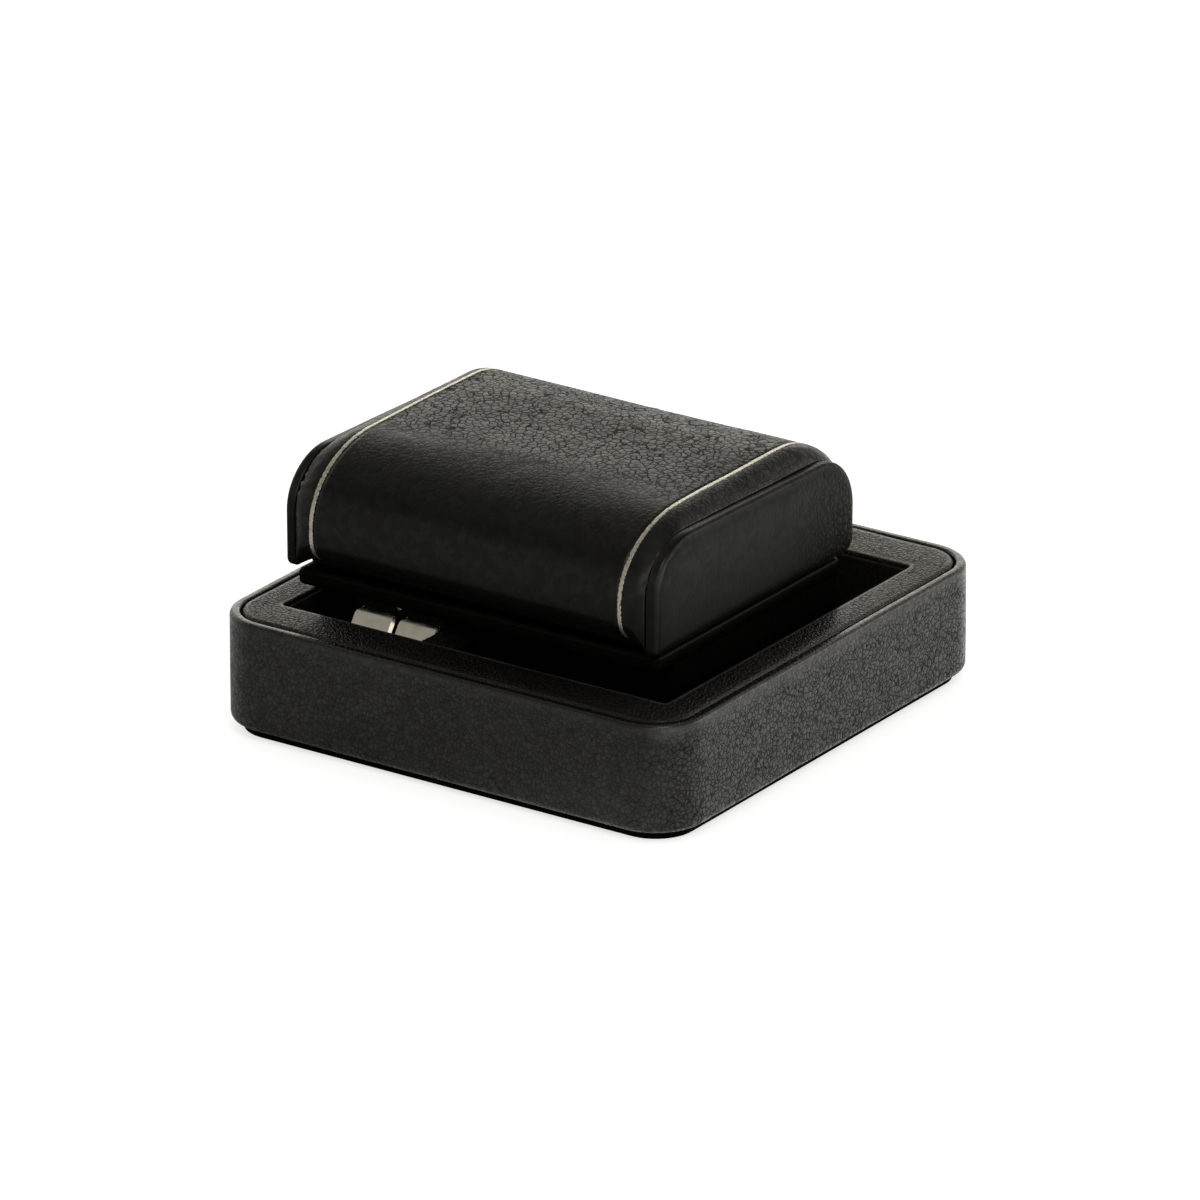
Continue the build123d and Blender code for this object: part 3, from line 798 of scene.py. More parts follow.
class STAND_OT_wall_leather(bpy.types.Operator):
    """Build the leather round the walls, rolled over the rim."""

    bl_idname = "stand.wall_leather"
    bl_label = "Wall leather"

    longest_face = 1.6 * MM
    # Below the rim, where the lip starts and where it is whole
    lip_reach = (3.4 * MM, 1.2 * MM)
    lip_rub, lip_taut = 0.15, 0.6
    # The front right corner of the lip is rubbed most
    corner_inset, corner_reach, corner_rub = 3 * MM, 4 * MM, 0.85
    # Behind the front, where its smoother grain starts to end and has ended
    front_reach, front_taut = (1 * MM, 5 * MM), 0.35
    plain_taut = 0.1
    shine = 0.76

    def execute(self, context):
        sizes = context.scene.stand_base
        low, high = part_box("wall_cover")
        half_x, half_y = high[0], high[1]
        inner_low = low[2] + sizes.leather
        ledge = high[2] - sizes.lip_thickness
        profile = rounded_profile((
            (sizes.turn_in, low[2], 0.0),
            (0.0, low[2], sizes.foot_round),
            (0.0, high[2], sizes.lip_round),
            (sizes.lip_width, high[2], sizes.lip_inner_round),
            (sizes.lip_width, ledge, 0.0),
            (sizes.leather, ledge, 0.0),
            (sizes.leather, inner_low, sizes.foot_round - sizes.leather),
            (sizes.turn_in, inner_low, 0.0),
        ))
        profile = with_more_points(profile, self.longest_face)
        loops = [
            at_height(plan_loop(half_x - inset, half_y - inset, sizes.corner - inset), height)
            for inset, height in profile
        ]
        points, faces = lofted(loops, closed=True)
        points = uneven(points, *UNEVEN["walls"])
        piece = add_piece("wall_leather", points, faces, finish_named("lit wall leather"), "base",
                          ["wall_cover"])
        lip = np.interp(points[:, 2], [high[2] - drop for drop in self.lip_reach], (0, 1))
        front = np.interp(points[:, 1], [low[1] + depth for depth in self.front_reach], (1, 0))
        spot = (high[0] - self.corner_inset, low[1] + self.corner_inset)
        corner = near(points[:, 0], points[:, 1], spot, self.corner_reach)
        set_mask(piece, "rub", lip * (self.lip_rub + self.corner_rub * corner))
        set_mask(piece, "taut",
                 self.plain_taut + np.maximum(self.lip_taut * lip, self.front_taut * front))
        set_mask(piece, "shine", self.shine)
        return {"FINISHED"}


class STAND_OT_frame_leather(bpy.types.Operator):
    """Build the leather of the frame set into the rim."""

    bl_idname = "stand.frame_leather"
    bl_label = "Frame leather"

    face_steps, face_fullness = 12, 0.6
    skirt_height = 1.0 * MM
    # Rolled edges, and how many rows at the opening carry a painted highlight
    edge_rub, edge_taut, worn_rows = 0.2, 0.6, 3
    tab_rub, tab_taut, tab_steps = 0.8, 0.5, 60
    shine = 0.22

    def execute(self, context):
        sizes = context.scene.stand_base
        low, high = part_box("top_frame_cover")
        half_x, half_y = high[0], high[1]
        corner = sizes.corner - sizes.lip_width - sizes.groove
        liner_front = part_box("well_liner_front")[0][1]
        liner_right, liner_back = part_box("well_liner_back")[1][:2]
        opening_x = liner_right + sizes.liner_gap
        opening_front = liner_front - sizes.liner_gap
        opening_back = liner_back + sizes.liner_gap
        opening_y = (opening_back - opening_front) / 2
        opening_middle = (opening_back + opening_front) / 2

        def outer(inset, height):
            return at_height(plan_loop(half_x - inset, half_y - inset, corner - inset), height)

        def inner(margin, height):
            loop = plan_loop(opening_x + margin, opening_y + margin,
                             sizes.opening_corner + margin, opening_middle)
            return at_height(loop, height)

        def rolled(make, radius):
            """Loops round a rolled edge, from its side to the face."""
            return [
                make(radius * (1 - math.cos(a)), high[2] - radius * (1 - math.sin(a)))
                for a in quarter_turn()
            ]

        rise_out = rolled(outer, sizes.frame_round)
        rise_in = rolled(inner, sizes.frame_inner_round)
        face = []
        for share in np.linspace(0, 1, self.face_steps)[1:-1]:
            loop = (1 - share) * rise_out[-1] + share * rise_in[-1]
            loop[:, 2] += sizes.frame_crown * (4 * share * (1 - share)) ** self.face_fullness
            face.append(loop)
        thick = sizes.frame_leather
        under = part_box("top_frame_core")[1][2]
        skirt = low[2] + self.skirt_height
        outside = [outer(0, low[2]), outer(0, skirt)]
        inside = [inner(0, skirt), inner(0, low[2]), inner(thick, low[2])]
        below = [inner(thick, under), outer(thick, under), outer(thick, low[2])]
        loops = outside + rise_out + face + rise_in[::-1] + inside + below
        points, faces = lofted(loops, closed=True)
        points = uneven(points, *UNEVEN["frame"])
        piece = add_piece("frame_leather", points, faces, finish_named("frame leather"), "base",
                          ["top_frame_cover"])
        row = np.arange(len(points)) // len(loops[0]) - len(outside)
        crest = len(rise_out) + len(face)
        rounds = (row >= 0) & (row < len(rise_out))
        rounds |= (row >= crest) & (row < crest + len(rise_in))
        set_mask(piece, "rub", rounds * self.edge_rub)
        set_mask(piece, "taut", rounds * self.edge_taut)
        # Painted highlight along the opening's rolled edge
        set_mask(piece, "wear", (row >= crest) & (row < crest + self.worn_rows))
        set_mask(piece, "shine", self.shine)
        self.add_tab(sizes, opening_front, low[2], high[2])
        return {"FINISHED"}

    def add_tab(self, sizes, opening_front, low, top):
        """Tab of the frame's leather that runs to the plinth, gathered along its sides."""
        plinth_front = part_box("plinth_block_cover")[0][1]
        under_frame, sunk_depth, sunk_end = 3.2 * MM, 0.25 * MM, 0.3 * MM
        gather_inset, gather_reach, gather_wave = 0.5 * MM, 0.8 * MM, 0.75 * MM
        side_shift, noise_level, gather_sink = 5, 0.4, 0.2
        half = (sizes.tab_right - sizes.tab_left) / 2
        middle = (sizes.tab_right + sizes.tab_left) / 2
        radius = sizes.frame_round
        side = [(half - radius * (1 - math.cos(a)), radius * (1 - math.sin(a)))
                for a in quarter_turn()]
        flat = [(half - radius) * k / 8 for k in range(7, -8, -1)]
        section = [(half, top - low)] + side + [(x, 0.0) for x in flat]
        section += [(-x, drop) for x, drop in reversed(side)] + [(-half, top - low)]
        loops = []
        lengths = np.linspace(opening_front - under_frame, plinth_front, self.tab_steps)
        for y in lengths:
            sunk = np.interp(y, (lengths[0], opening_front - sunk_end), (sunk_depth, 0.0))
            loop = []
            for x, drop in section:
                edge = math.exp(-((abs(x) - half + gather_inset) / gather_reach) ** 2)
                spot = Vector((math.copysign(side_shift, x), y / gather_wave, noise_level))
                pull = sizes.tab_pucker * edge * (noise.noise(spot) - gather_sink)
                loop.append((middle + x + math.copysign(pull, x), y, top - drop - sunk + pull))
            loops.append(np.array(loop))
        points, faces = lofted(loops, closed=False)
        count = len(section)
        ends = [tuple(range(count)), tuple(range(len(points) - 1, len(points) - 1 - count, -1))]
        piece = add_piece("frame_tab_leather", points, faces + ends,
                          finish_named("frame leather"), "base",
                          ["top_frame_cover"])
        edge = np.abs(points[:, 0] - middle) > half - gather_inset - gather_reach
        set_mask(piece, "rub", edge * self.tab_rub)
        set_mask(piece, "taut", edge * self.tab_taut)
        set_mask(piece, "shine", self.shine)


class STAND_OT_plinth_leather(bpy.types.Operator):
    """Build the leather-wrapped top of the plinth."""

    bl_idname = "stand.plinth_leather"
    bl_label = "Plinth leather"

    rim_rows = 8
    # The first rows lie on the upper edge, along which a highlight is painted
    rub_rows, rim_rub, rim_wear = 5, 0.3, 0.04
    rim_taut, rim_shine, face_shine = 0.7, 0.03, 0.22

    def execute(self, context):
        sizes = context.scene.stand_plinth
        low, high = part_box("plinth_top_cover")
        middle = (low[1] + high[1]) / 2
        half_x, half_y = high[0], (high[1] - low[1]) / 2
        top_angles = np.linspace(math.pi / 2, 0, self.rim_rows)
        under_angles = np.linspace(0, -math.pi / 2, self.rim_rows)
        rows = [(sizes.top_round, high[2] - sizes.top_round, a) for a in top_angles]
        rows += [(sizes.under_round, low[2] + sizes.under_round, a) for a in under_angles]
        loops = []
        for radius, centre, angle in rows:
            inset = radius * (1 - math.cos(angle))
            loop = plan_loop(half_x - inset, half_y - inset, sizes.corner - inset, middle)
            loops.append(at_height(loop, centre + radius * math.sin(angle)))
        points, faces = wrapped_board(loops, PLAN_CORNERS, (0, 0, sizes.crown), (0, 0, 0))
        points = uneven(points, *UNEVEN["plinth"])
        # Painted shade: the plinth's leather is the darker copy
        piece = add_piece("plinth_leather", points, faces, finish_named("shaded plinth leather"),
                          "base", ["plinth_top_cover", "plinth_top_board"])
        row = np.arange(len(points)) // len(loops[0])
        rim = row < len(loops)
        set_mask(piece, "rub", (row < self.rub_rows) * self.rim_rub)
        # Painted highlight along the plinth's upper edge
        set_mask(piece, "wear", ((row > 0) & (row < self.rub_rows - 1)) * self.rim_wear)
        set_mask(piece, "taut", rim * self.rim_taut)
        set_mask(piece, "shine", np.where(rim, self.rim_shine, self.face_shine))
        return {"FINISHED"}


# Steps round the cuff's end outline
ARC_STEPS = 28
TOP_STEPS = 36
UPRIGHT_STEPS = 6
# Frames of the padding's simulation, and the height below which the leather is glued
SWELL_FRAMES = 20
GLUED_HEIGHT = 3.0 * MM
# The leather is drawn smooth in front, and its grain grows towards the top
SMOOTH_PLACES = (-47 * MM, -35 * MM, -27 * MM, -20 * MM)
SMOOTH_SHARES = (0.9, 0.86, 0.5, 0.0)
# Heights between which its shine grows
SHINE_HEIGHTS = (36 * MM, 47 * MM)
# Gathers: their waves along the seam and across it, and what keeps the two ends unlike
GATHER_WAVE, GATHER_DRIFT = 1.1 * MM, 9 * MM
GATHER_SIDE_SHIFT = 3.7
FINE_GATHERS, FINE_SHARE = 2.3, 0.5
# Where they stand on the front crown's arc, and how they fall off away from the cheek
GATHER_MIDDLE, GATHER_REACH = 0.60 * ARC_STEPS, 0.22 * ARC_STEPS
GATHER_FALL = 1.3
LEAST_GATHERED = 0.12
GATHER_SINK = 0.25


def cuff_corners(sizes):
    """Corners of the cuff's end outline."""
    low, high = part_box("cuff_wrap")
    foot = (sizes.under_reach, sizes.under_start - low[2])
    return (
        (low[1] + sizes.front_crown_reach, sizes.front_crown_start,
         sizes.front_crown_reach, high[2] - sizes.front_crown_start),
        (low[1] + sizes.under_reach, sizes.under_start, *foot),
        (high[1] - sizes.under_reach, sizes.under_start, *foot),
        (high[1] - sizes.back_crown_reach, sizes.back_crown_start,
         sizes.back_crown_reach, high[2] - sizes.back_crown_start),
    )


def cheek_corners(sizes):
    """Corners of a cheek's end outline."""
    low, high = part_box("cheek_cover_right")
    front, back = sizes.front_foot, sizes.back_foot
    return (
        (low[1] + sizes.front_reach, sizes.front_start, sizes.front_reach,
         sizes.front_top - sizes.front_start),
        (low[1] + front, low[2] + front, front, front),
        (high[1] - back, low[2] + back, back, back),
        (high[1] - sizes.back_reach, sizes.back_start, sizes.back_reach,
         sizes.back_top - sizes.back_start),
    )


def band_share(x, seam):
    """How far across its end band a station is, from the silver line to the cheek."""
    line_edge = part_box("silver_line_right")[1][0]
    return np.clip((abs(x) - line_edge) / (seam - line_edge), 0, 1)


def skin_rows(sizes, cheek_sizes, stations, seam, steps):
    """Rows of points round the cuff at stations along it; the bands fall to the cheeks."""
    plain = np.array(cuff_corners(sizes))
    drawn_in = set_in(cheek_corners(cheek_sizes), sizes.seam_inset)
    rows = []
    for x in stations:
        corners = plain + band_share(x, seam) ** sizes.band_steepness * (drawn_in - plain)
        rows.append(at_station(end_loop(corners, *steps), x))
    return np.array(rows)


def row_normals(rows):
    """Outward direction at each point of the rows."""
    along = np.gradient(rows, axis=0)
    around = np.roll(rows, -1, axis=1) - np.roll(rows, 1, axis=1)
    normals = np.cross(around, along)
    normals /= np.linalg.norm(normals, axis=2, keepdims=True)
    centre = rows.mean(axis=(0, 1))
    facing = np.sign(np.sum(normals * (rows - centre), axis=2).mean())
    return normals * facing


def gathered(rows, normals, sizes, seam):
    """Rows with gathers where the leather is drawn in at the cheek seams, and where they are."""
    moved = rows.copy()
    pulled = np.zeros(rows.shape[:2])
    for row, (points, outward) in enumerate(zip(rows, normals)):
        share = band_share(points[0, 0], seam)
        if share == 0:
            continue
        side = math.copysign(1, points[0, 0])
        for k, point in enumerate(points):
            spot = Vector((side * GATHER_SIDE_SHIFT + point[0] / GATHER_DRIFT,
                           point[1] / GATHER_WAVE, point[2] / GATHER_WAVE))
            ridge = noise.noise(spot) + FINE_SHARE * noise.noise(spot * FINE_GATHERS)
            gather = math.exp(-((k - GATHER_MIDDLE) / GATHER_REACH) ** 2)
            depth = sizes.pucker * share ** GATHER_FALL * (LEAST_GATHERED + gather)
            moved[row, k] += outward[k] * depth * (ridge - GATHER_SINK)
            pulled[row, k] = gather * share
    return moved, pulled


def thick_skin(rows, normals, thickness):
    """Closed mesh of a skin and its inner side."""
    count, around = rows.shape[:2]
    inner = rows - normals * thickness
    points = np.concatenate((rows.reshape(-1, 3), inner.reshape(-1, 3)))
    offset = count * around
    faces = []
    for row in range(count - 1):
        for k in range(around):
            j = (k + 1) % around
            quad = (row * around + k, row * around + j, (row + 1) * around + j,
                    (row + 1) * around + k)
            faces.append(quad)
            faces.append(tuple(offset + v for v in reversed(quad)))
    for row in (0, count - 1):
        for k in range(around):
            j = (k + 1) % around
            faces.append((row * around + k, row * around + j, offset + row * around + j,
                          offset + row * around + k))
    return points, faces


def swollen(rows, most):
    """Rows after the padding has pushed the leather out, by a cloth simulation.

    The leather is held at both seams and underneath, where it is glued down.
    """
    points, faces = lofted(list(rows), closed=False)
    mesh = new_mesh("padding", points, faces)
    padding = bpy.data.objects.new("padding", mesh)
    scene = bpy.context.scene
    scene.collection.objects.link(padding)
    around = rows.shape[1]
    held = padding.vertex_groups.new(name="held")
    glued = rows[:, :, 2].min() + GLUED_HEIGHT
    fixed = [i for i, p in enumerate(points)
             if p[2] < glued or i < around or i >= len(points) - around]
    held.add(fixed, 1.0, "REPLACE")
    cloth = padding.modifiers.new("swell", "CLOTH")
    settings = cloth.settings
    settings.vertex_group_mass = "held"
    settings.mass = 0.4
    settings.tension_stiffness = 30.0
    settings.compression_stiffness = 30.0
    settings.shear_stiffness = 12.0
    settings.bending_stiffness = 4.0
    settings.use_pressure = True
    settings.uniform_pressure_force = 4.0
    settings.effector_weights.gravity = 0.0
    cloth.point_cache.frame_start, cloth.point_cache.frame_end = 1, SWELL_FRAMES
    for frame_number in range(1, SWELL_FRAMES + 1):
        scene.frame_set(frame_number)
    settled = padding.evaluated_get(bpy.context.evaluated_depsgraph_get())
    ends = np.array([v.co for v in settled.data.vertices]).reshape(rows.shape)
    scene.frame_set(1)
    bpy.data.objects.remove(padding)
    bpy.data.meshes.remove(mesh)
    moved = ends - rows
    reach = np.linalg.norm(moved, axis=2, keepdims=True)
    return moved * most / np.maximum(reach, most)


def between_rows(coarse, coarse_stations, stations, count):
    """Coarse grid of moves read off at finer stations and points."""
    spread = np.linspace(0, coarse.shape[1], count, endpoint=False)
    ring = np.concatenate((coarse, coarse[:, :1]), axis=1)
    marks = np.arange(coarse.shape[1] + 1)
    finer = np.array([[np.interp(spread, marks, row[:, axis]) for axis in range(3)]
                      for row in ring])
    result = np.empty((len(stations), count, 3))
    for k in range(count):
        for axis in range(3):
            result[:, k, axis] = np.interp(stations, coarse_stations, finer[:, axis, k])
    return result


class STAND_OT_cuff(bpy.types.Operator):
    """Build the padded cuff: its wrap, its two silver lines and its end bands."""

    bl_idname = "stand.cuff"
    bl_label = "Cuff"

    wrap_stations, line_stations, band_stations, padding_stations = 73, 5, 17, 47
    band_taut = 0.55
    band_shine, wrap_shine, least_shine = 0.48, 0.43, 0.1

    def execute(self, context):
        sizes = context.scene.stand_cuff
        line_low, line_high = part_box("silver_line_right")
        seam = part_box("cuff_band_right")[1][0]
        middle = np.linspace(-line_low[0], line_low[0], self.wrap_stations)
        line = np.linspace(line_low[0], line_high[0], self.line_stations)
        band = np.linspace(line_high[0], seam, self.band_stations)
        stations = np.concatenate((-band[::-1], -line[::-1][1:], middle[1:], line[1:], band[1:]))
        rows, pulled = self.shaped_rows(sizes, context.scene.stand_cheek, stations, seam)
        normals = row_normals(rows)
        smooth = np.interp(rows[:, :, 1], SMOOTH_PLACES, SMOOTH_SHARES)
        edges = np.cumsum([0] + [len(part) - 1 for part in (band, line, middle, line, band)])
        names = ("cuff_band_left", "silver_line_left", "cuff_wrap", "silver_line_right",
                 "cuff_band_right")
        for name, first, last in zip(names, edges, edges[1:]):
            span = slice(first, last + 1)
            if name.startswith("silver"):
                self.add_line(name, rows[span], normals[span], sizes)
            else:
                self.add_leather(name, rows[span], normals[span], sizes, smooth[span],
                                 pulled[span])
        return {"FINISHED"}

    def shaped_rows(self, sizes, cheek_sizes, stations, seam):
        """Rows of the whole cuff, swollen and gathered, and where the gathers are."""
        steps = (ARC_STEPS, TOP_STEPS, UPRIGHT_STEPS)
        rows = skin_rows(sizes, cheek_sizes, stations, seam, steps)
        coarse_stations = np.linspace(-seam, seam, self.padding_stations)
        coarse = skin_rows(sizes, cheek_sizes, coarse_stations, seam, [s // 2 for s in steps])
        moves = swollen(coarse, sizes.swell)
        rows = rows + between_rows(moves, coarse_stations, stations, rows.shape[1])
        rows, pulled = gathered(rows, row_normals(rows), sizes, seam)
        flat = uneven(rows.reshape(-1, 3), *UNEVEN["cuff"])
        return flat.reshape(rows.shape), pulled

    def add_line(self, name, rows, normals, sizes):
        """Silver line, a little proud of the leather."""
        raised = rows + normals * sizes.line_rise
        points, faces = thick_skin(raised, normals, sizes.line_depth)
        piece = add_piece(f"{name}_skin", points, faces, finish_named("silver foil"), "cuff",
                          [name])
        across = np.abs(np.linspace(-1, 1, len(rows))) ** 3
        set_mask(piece, "edge", np.tile(np.repeat(across, rows.shape[1]), 2))

    def add_leather(self, name, rows, normals, sizes, smooth, pulled):
        """Wrap or end band, smooth in front and gathered at the cheek."""
        points, faces = thick_skin(rows, normals, sizes.leather)
        wrap = name == "cuff_wrap"
        inside = ["cuff_foam", "cuff_core"] if wrap else []
        piece = add_piece(f"{name}_skin", points, faces, finish_named("cuff leather"), "cuff",
                          [name] + inside)
        taut = np.maximum(smooth, 0.0 if wrap else self.band_taut)
        set_mask(piece, "taut", np.tile(taut.reshape(-1), 2))
        set_mask(piece, "rub", np.tile(pulled.reshape(-1), 2))
        upper = np.interp(points[:, 2], SHINE_HEIGHTS, (self.least_shine, 1.0))
        set_mask(piece, "shine", upper * (self.wrap_shine if wrap else self.band_shine))


class STAND_OT_cuff_foot(bpy.types.Operator):
    """Build the leather-wrapped foot that fills the space under the cuff."""

    bl_idname = "stand.cuff_foot"
    bl_label = "Cuff foot"

    taut, shine = 0.6, 0.05

    def execute(self, context):
        sizes = context.scene.stand_cuff
        low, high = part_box("cuff_foot")
        middle, half_y = (low[1] + high[1]) / 2, (high[1] - low[1]) / 2
        half_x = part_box("cheek_cover_right")[0][0] - sizes.foot_gap
        radius = sizes.foot_round
        rows = [(radius, 0.0, sizes.foot_inner_corner)]
        rows += [(radius * (1 - math.cos(a)), radius * (1 + math.sin(a)), sizes.foot_corner)
                 for a in np.linspace(-math.pi / 2, 0, ROUND_STEPS)[1:]]
        rows.append((0.0, high[2] + sizes.leather - low[2], sizes.foot_corner))
        loops = [at_height(plan_loop(half_x - inset, half_y - inset, corner, middle),
                           low[2] + rise) for inset, rise, corner in rows]
        points, faces = wrapped_board(loops, PLAN_CORNERS, (0, 0, 0), (0, 0, 0))
        # Painted shade: the foot takes the plinth's darker copy of the leather
        piece = add_piece("cuff_foot_leather", points, faces, finish_named("shaded plinth leather"),
                          "cuff", ["cuff_foot"])
        set_mask(piece, "taut", self.taut)
        set_mask(piece, "shine", self.shine)
        return {"FINISHED"}


class STAND_OT_cheeks(bpy.types.Operator):
    """Build the two leather-wrapped end cheeks."""

    bl_idname = "stand.cheeks"
    bl_label = "Cheeks"

    arc, top, upright, round_steps = 16, 40, 12, 9
    # The front upper corner is rubbed most
    rubbed_corner, rub_reach = (3.5 * MM, 5.5 * MM), 3.2 * MM
    edge_rub, corner_rub = 0.12, 0.88
    front_taut, back_taut = 0.96, 0.6
    # The shine grows from the foot up to this height
    dark_foot = 16 * MM
    shine = 0.19

    def execute(self, context):
        sizes = context.scene.stand_cheek
        low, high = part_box("cheek_cover_right")
        outline = cheek_corners(sizes)
        angles = quarter_turn(self.round_steps)
        rounds = [(high[0] - sizes.edge_round * (1 - math.cos(a)),
                   sizes.edge_round * (1 - math.sin(a))) for a in angles]
        back = [(low[0] + sizes.seam_round * (1 - math.cos(a)),
                 sizes.seam_round * (1 - math.sin(a))) for a in angles[::-1]]
        arc, top, upright = self.arc, self.top, self.upright
        corners = [arc // 2, arc * 3 // 2 + upright, arc * 5 // 2 + upright + top,
                   arc * 7 // 2 + 2 * upright + top]
        for side_name, side in SIDES.items():
            loops = [at_station(end_loop(set_in(outline, inset), arc, top, upright), side * x)
                     for x, inset in rounds + back]
            points, faces = wrapped_board(loops, corners, (side * sizes.swell, 0, 0), (0, 0, 0))
            points = uneven(points, *UNEVEN[f"{side_name} cheek"])
            piece = add_piece(f"cheek_leather_{side_name}", points, faces,
                              finish_named("cuff leather"), "cuff",
                              [f"cheek_cover_{side_name}", f"cheek_board_{side_name}"])
            depth, drop = self.rubbed_corner
            front = near(points[:, 1], points[:, 2], (low[1] + depth, high[2] - drop),
                         self.rub_reach)
            rolled = np.arange(len(points)) < len(loops) * len(loops[0])
            set_mask(piece, "rub", rolled * (self.edge_rub + self.corner_rub * front))
            set_mask(piece, "taut", np.interp(points[:, 1], (0.0, high[1]),
                                              (self.front_taut, self.back_taut)))
            lower = np.interp(points[:, 2], (low[2], low[2] + self.dark_foot), (0.0, 1.0))
            set_mask(piece, "shine", self.shine * lower)
        return {"FINISHED"}


class STAND_OT_springs(bpy.types.Operator):
    """Build the bow spring behind each tongue, bowed as it is at rest."""

    bl_idname = "stand.springs"
    bl_label = "Springs"

    bow_steps = 41

    def execute(self, context):
        strip = context.scene.stand_base.spring_strip
        for side_name in SIDES:
            node = f"catch_spring_{side_name}"
            low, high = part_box(node)
            half_span = (high[0] - low[0] - strip) / 2
            rise = high[1] - low[1] - strip
            radius = (half_span ** 2 + rise ** 2) / (2 * rise)
            middle, centre = (low[0] + high[0]) / 2, low[1] + radius + strip / 2
            reach = math.asin(half_span / radius)
            loops = []
            for angle in np.linspace(-reach, reach, self.bow_steps):
                outward = np.array((math.sin(angle), -math.cos(angle)))
                front = np.array((middle, centre)) + outward * (radius + strip / 2)
                back = np.array((middle, centre)) + outward * (radius - strip / 2)
                loops.append(np.array([(*front, low[2]), (*front, high[2]),
                                       (*back, high[2]), (*back, low[2])]))
            points, faces = lofted(loops, closed=False)
            faces += [(3, 2, 1, 0), tuple(range(len(points) - 4, len(points)))]
            piece = add_piece(f"bow_spring_{side_name}", points, faces,
                              finish_named("plain steel"), "base", [node])
            piece.data.shade_flat()
            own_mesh(piece)
        return {"FINISHED"}


class STAND_OT_inner_pieces(bpy.types.Operator):
    """Finish the carried-over suede, velvet, nickel, boards, foam, screws and magnets."""

    bl_idname = "stand.inner_pieces"
    bl_label = "Inner pieces"

    def execute(self, context):
        slots = {row["node"]: row["material_slot"] for row in frame["record"]["subparts"]}
        finish_of = {
            "black_suede": "black suede", "black_velvet": "black velvet",
            "polished_nickel": "polished nickel", "fibreboard": "fibreboard",
            "foam": "foam", "plain_steel": "plain steel", "blackened_steel": "blackened steel",
        }
        for slot, finish in finish_of.items():
            dress([n for n, s in slots.items() if s == slot], finish_named(finish))
        # Painted shade: the block's suede is the darker copy
        dress(["plinth_block_cover"], finish_named("shaded block suede"))
        return {"FINISHED"}


LAMPS = {
    # name: place, width, height, power
    "back lamp": ((-0.95, 1.55, 0.6), 1.4, 0.6, 3.5),
    "right lamp": ((1.35, 1.25, 0.4), 1.0, 0.6, 3.0),
    "small lamp": ((0.7, -0.5, 1.1), 0.35, 0.35, 1.4),
}
LAMP_AIM = (0.0, 0.0, 30 * MM)
FLOOR_HALF = 4.0
# Where the darker front left ends and the brighter back right starts, on the floor and in the sky
FLOOR_STEPS = (-70 * MM, 0.0)
SKY_STEPS = (-0.8, -0.4)
# Where the bright horizon ends and the darker ceiling starts, as a share of straight up
CEILING_STEPS = (0.42, 0.72)
WHITE = (1.0, 1.0, 1.0, 1.0)


def add_lamp(name, stage, place, width, height, power):
    """Rectangular lamp aimed at the stand."""
    light = bpy.data.lights.new(name, "AREA")
    light.shape = "RECTANGLE"
    light.size, light.size_y = width, height
    light.energy = power * stage.lamp_level
    light.color = stage.light_tint
    lamp = bpy.data.objects.new(name, light)
    lamp.location = place
    lamp.rotation_euler = (Vector(LAMP_AIM) - Vector(place)).to_track_quat("-Z", "Y").to_euler()
    bpy.context.scene.collection.objects.link(lamp)


def back_share(tree, place, stage, steps, front_level):
    """Smooth step across the stand, from its front left, which is darker, to its back right."""
    back_right = (math.sin(stage.azimuth), math.cos(stage.azimuth), 0.0)
    depth = vector_sum(tree, "DOT_PRODUCT", place, back_right)
    return ramp(tree, depth, *steps, front_level, 1.0)


def seen_share(tree):
    """Share that is one for camera, glossy and see-through rays."""
    path = tree.nodes.new("ShaderNodeLightPath")
    seen = arithmetic(tree, "MAXIMUM", path.outputs["Is Camera Ray"],
                      path.outputs["Is Glossy Ray"])
    return arithmetic(tree, "MAXIMUM", seen, path.outputs["Is Transmission Ray"])


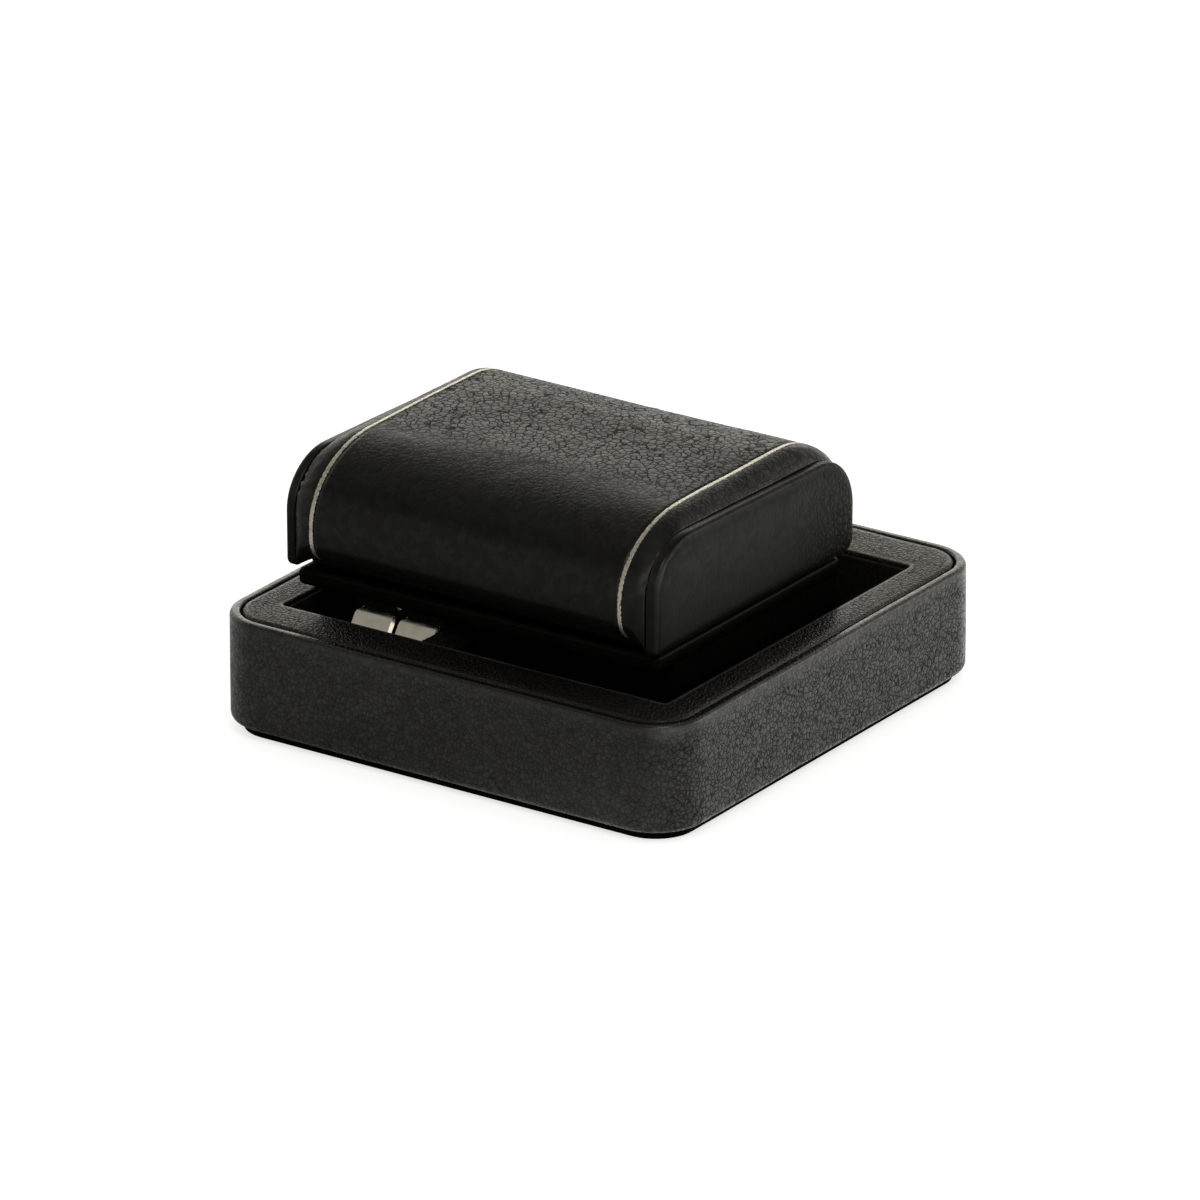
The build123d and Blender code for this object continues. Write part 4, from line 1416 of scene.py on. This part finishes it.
class STAND_OT_stage(bpy.types.Operator):
    """Set up the camera, the pale floor, the sky and the soft lamps."""

    bl_idname = "stand.stage"
    bl_label = "Stage"

    def execute(self, context):
        stage = context.scene.stand_stage
        self.add_camera(context.scene, stage)
        self.add_floor(stage)
        self.add_sky(context.scene, stage)
        for name, (place, width, height, power) in LAMPS.items():
            add_lamp(name, stage, place, width, height, power)
        context.scene.view_settings.view_transform = "Standard"
        return {"FINISHED"}

    def add_camera(self, scene, stage):
        """Camera at the photograph's angle."""
        azimuth, elevation = stage.azimuth, stage.elevation
        back = Vector((math.sin(azimuth) * math.cos(elevation),
                       -math.cos(azimuth) * math.cos(elevation), math.sin(elevation)))
        right = Vector((math.cos(azimuth), math.sin(azimuth), 0.0))
        up = back.cross(right)
        turn = Matrix.Rotation(stage.roll, 3, back)
        right, up = turn @ right, turn @ up
        data = bpy.data.cameras.new("camera")
        data.lens = stage.lens
        camera = bpy.data.objects.new("camera", data)
        camera.matrix_world = Matrix.Translation(
            back * stage.distance + up * stage.aim_height) @ Matrix(
            (right, up, back)).transposed().to_4x4()
        scene.collection.objects.link(camera)
        scene.camera = camera

    def add_floor(self, stage):
        """Pale floor under the stand, wide enough for every view."""
        half = FLOOR_HALF
        mesh = bpy.data.meshes.new("floor")
        mesh.from_pydata([(-half, -half, 0), (half, -half, 0), (half, half, 0),
                          (-half, half, 0)], [], [(0, 1, 2, 3)])
        floor = bpy.data.objects.new("floor", mesh)
        bpy.context.scene.collection.objects.link(floor)
        tree, shader = new_material("pale floor")
        shader.inputs["Base Color"].default_value = (*stage.floor, 1.0)
        shader.inputs["Roughness"].default_value = 0.9
        shader.inputs["Specular IOR Level"].default_value = 0.1
        shader.inputs["Emission Color"].default_value = WHITE
        path = tree.nodes.new("ShaderNodeLightPath")
        lit = back_share(tree, place_on(tree), stage, FLOOR_STEPS, stage.front_share)
        lit = arithmetic(tree, "MAXIMUM", lit, path.outputs["Is Camera Ray"])
        glow = arithmetic(tree, "MULTIPLY", seen_share(tree), stage.floor_glow)
        glow = arithmetic(tree, "MULTIPLY", glow, lit)
        tree.links.new(glow, shader.inputs["Emission Strength"])
        mesh.materials.append(finish_named("pale floor"))

    def add_sky(self, scene, stage):
        """Soft light all round: white to the camera, darker above and at the front in gloss."""
        sky = bpy.data.worlds.new("sky")
        sky.use_nodes = True
        tree = sky.node_tree
        background = tree.nodes["Background"]
        path = tree.nodes.new("ShaderNodeLightPath")
        place = tree.nodes.new("ShaderNodeTexCoord").outputs["Generated"]
        height = add_node(tree, "ShaderNodeSeparateXYZ", Vector=place).outputs["Z"]
        ceiling = ramp(tree, height, *CEILING_STEPS, 1.0, stage.ceiling_level)
        front = back_share(tree, place, stage, SKY_STEPS, stage.front_level)
        seen = arithmetic(tree, "MAXIMUM", path.outputs["Is Camera Ray"],
                          arithmetic(tree, "MULTIPLY", ceiling, front))
        strength = add_node(tree, "ShaderNodeMapRange", Value=seen_share(tree),
                            To_Min=stage.sky_level, To_Max=seen).outputs["Result"]
        tree.links.new(strength, background.inputs["Strength"])
        tint = blended(tree, path.outputs["Is Camera Ray"], (*stage.light_tint, 1.0), WHITE)
        tree.links.new(tint, background.inputs["Color"])
        scene.world = sky


class STAND_PT_sidebar(bpy.types.Panel):
    """Lists the stand's sizes and building steps."""

    bl_idname = "STAND_PT_sidebar"
    bl_label = "Travel watch stand"
    bl_space_type = "VIEW_3D"
    bl_region_type = "UI"
    bl_category = "Watch stand"

    def draw(self, context):
        column = self.layout.column()
        for step in STEPS:
            column.operator(step.bl_idname)
        for name, group in SETTINGS.items():
            column.label(text=group.__doc__)
            for key in group.__annotations__:
                column.prop(getattr(context.scene, name), key)


SETTINGS = {
    "stand_base": BaseSizes,
    "stand_plinth": PlinthSizes,
    "stand_cuff": CuffSizes,
    "stand_cheek": CheekSizes,
    "stand_finishes": StandFinishes,
    "stand_stage": StageSettings,
}
STEPS = (
    STAND_OT_finishes,
    STAND_OT_stage,
    STAND_OT_wall_leather,
    STAND_OT_frame_leather,
    STAND_OT_plinth_leather,
    STAND_OT_cuff,
    STAND_OT_cuff_foot,
    STAND_OT_cheeks,
    STAND_OT_springs,
    STAND_OT_inner_pieces,
)


def register():
    """Registers the settings, the steps and the sidebar."""
    for name, group in SETTINGS.items():
        bpy.utils.register_class(group)
        setattr(bpy.types.Scene, name, PointerProperty(type=group))
    for step in STEPS:
        bpy.utils.register_class(step)
    bpy.utils.register_class(STAND_PT_sidebar)


def unregister():
    """Takes the sidebar, the steps and the settings away."""
    bpy.utils.unregister_class(STAND_PT_sidebar)
    for step in reversed(STEPS):
        bpy.utils.unregister_class(step)
    for name, group in SETTINGS.items():
        delattr(bpy.types.Scene, name)
        bpy.utils.unregister_class(group)


def main():
    """Builds the whole stand and its stage."""
    register()
    bpy.ops.stand.finishes()
    bpy.ops.stand.stage()
    bpy.ops.stand.wall_leather()
    bpy.ops.stand.frame_leather()
    bpy.ops.stand.plinth_leather()
    bpy.ops.stand.cuff()
    bpy.ops.stand.cuff_foot()
    bpy.ops.stand.cheeks()
    bpy.ops.stand.springs()
    bpy.ops.stand.inner_pieces()


if __name__ == "__main__":
    main()
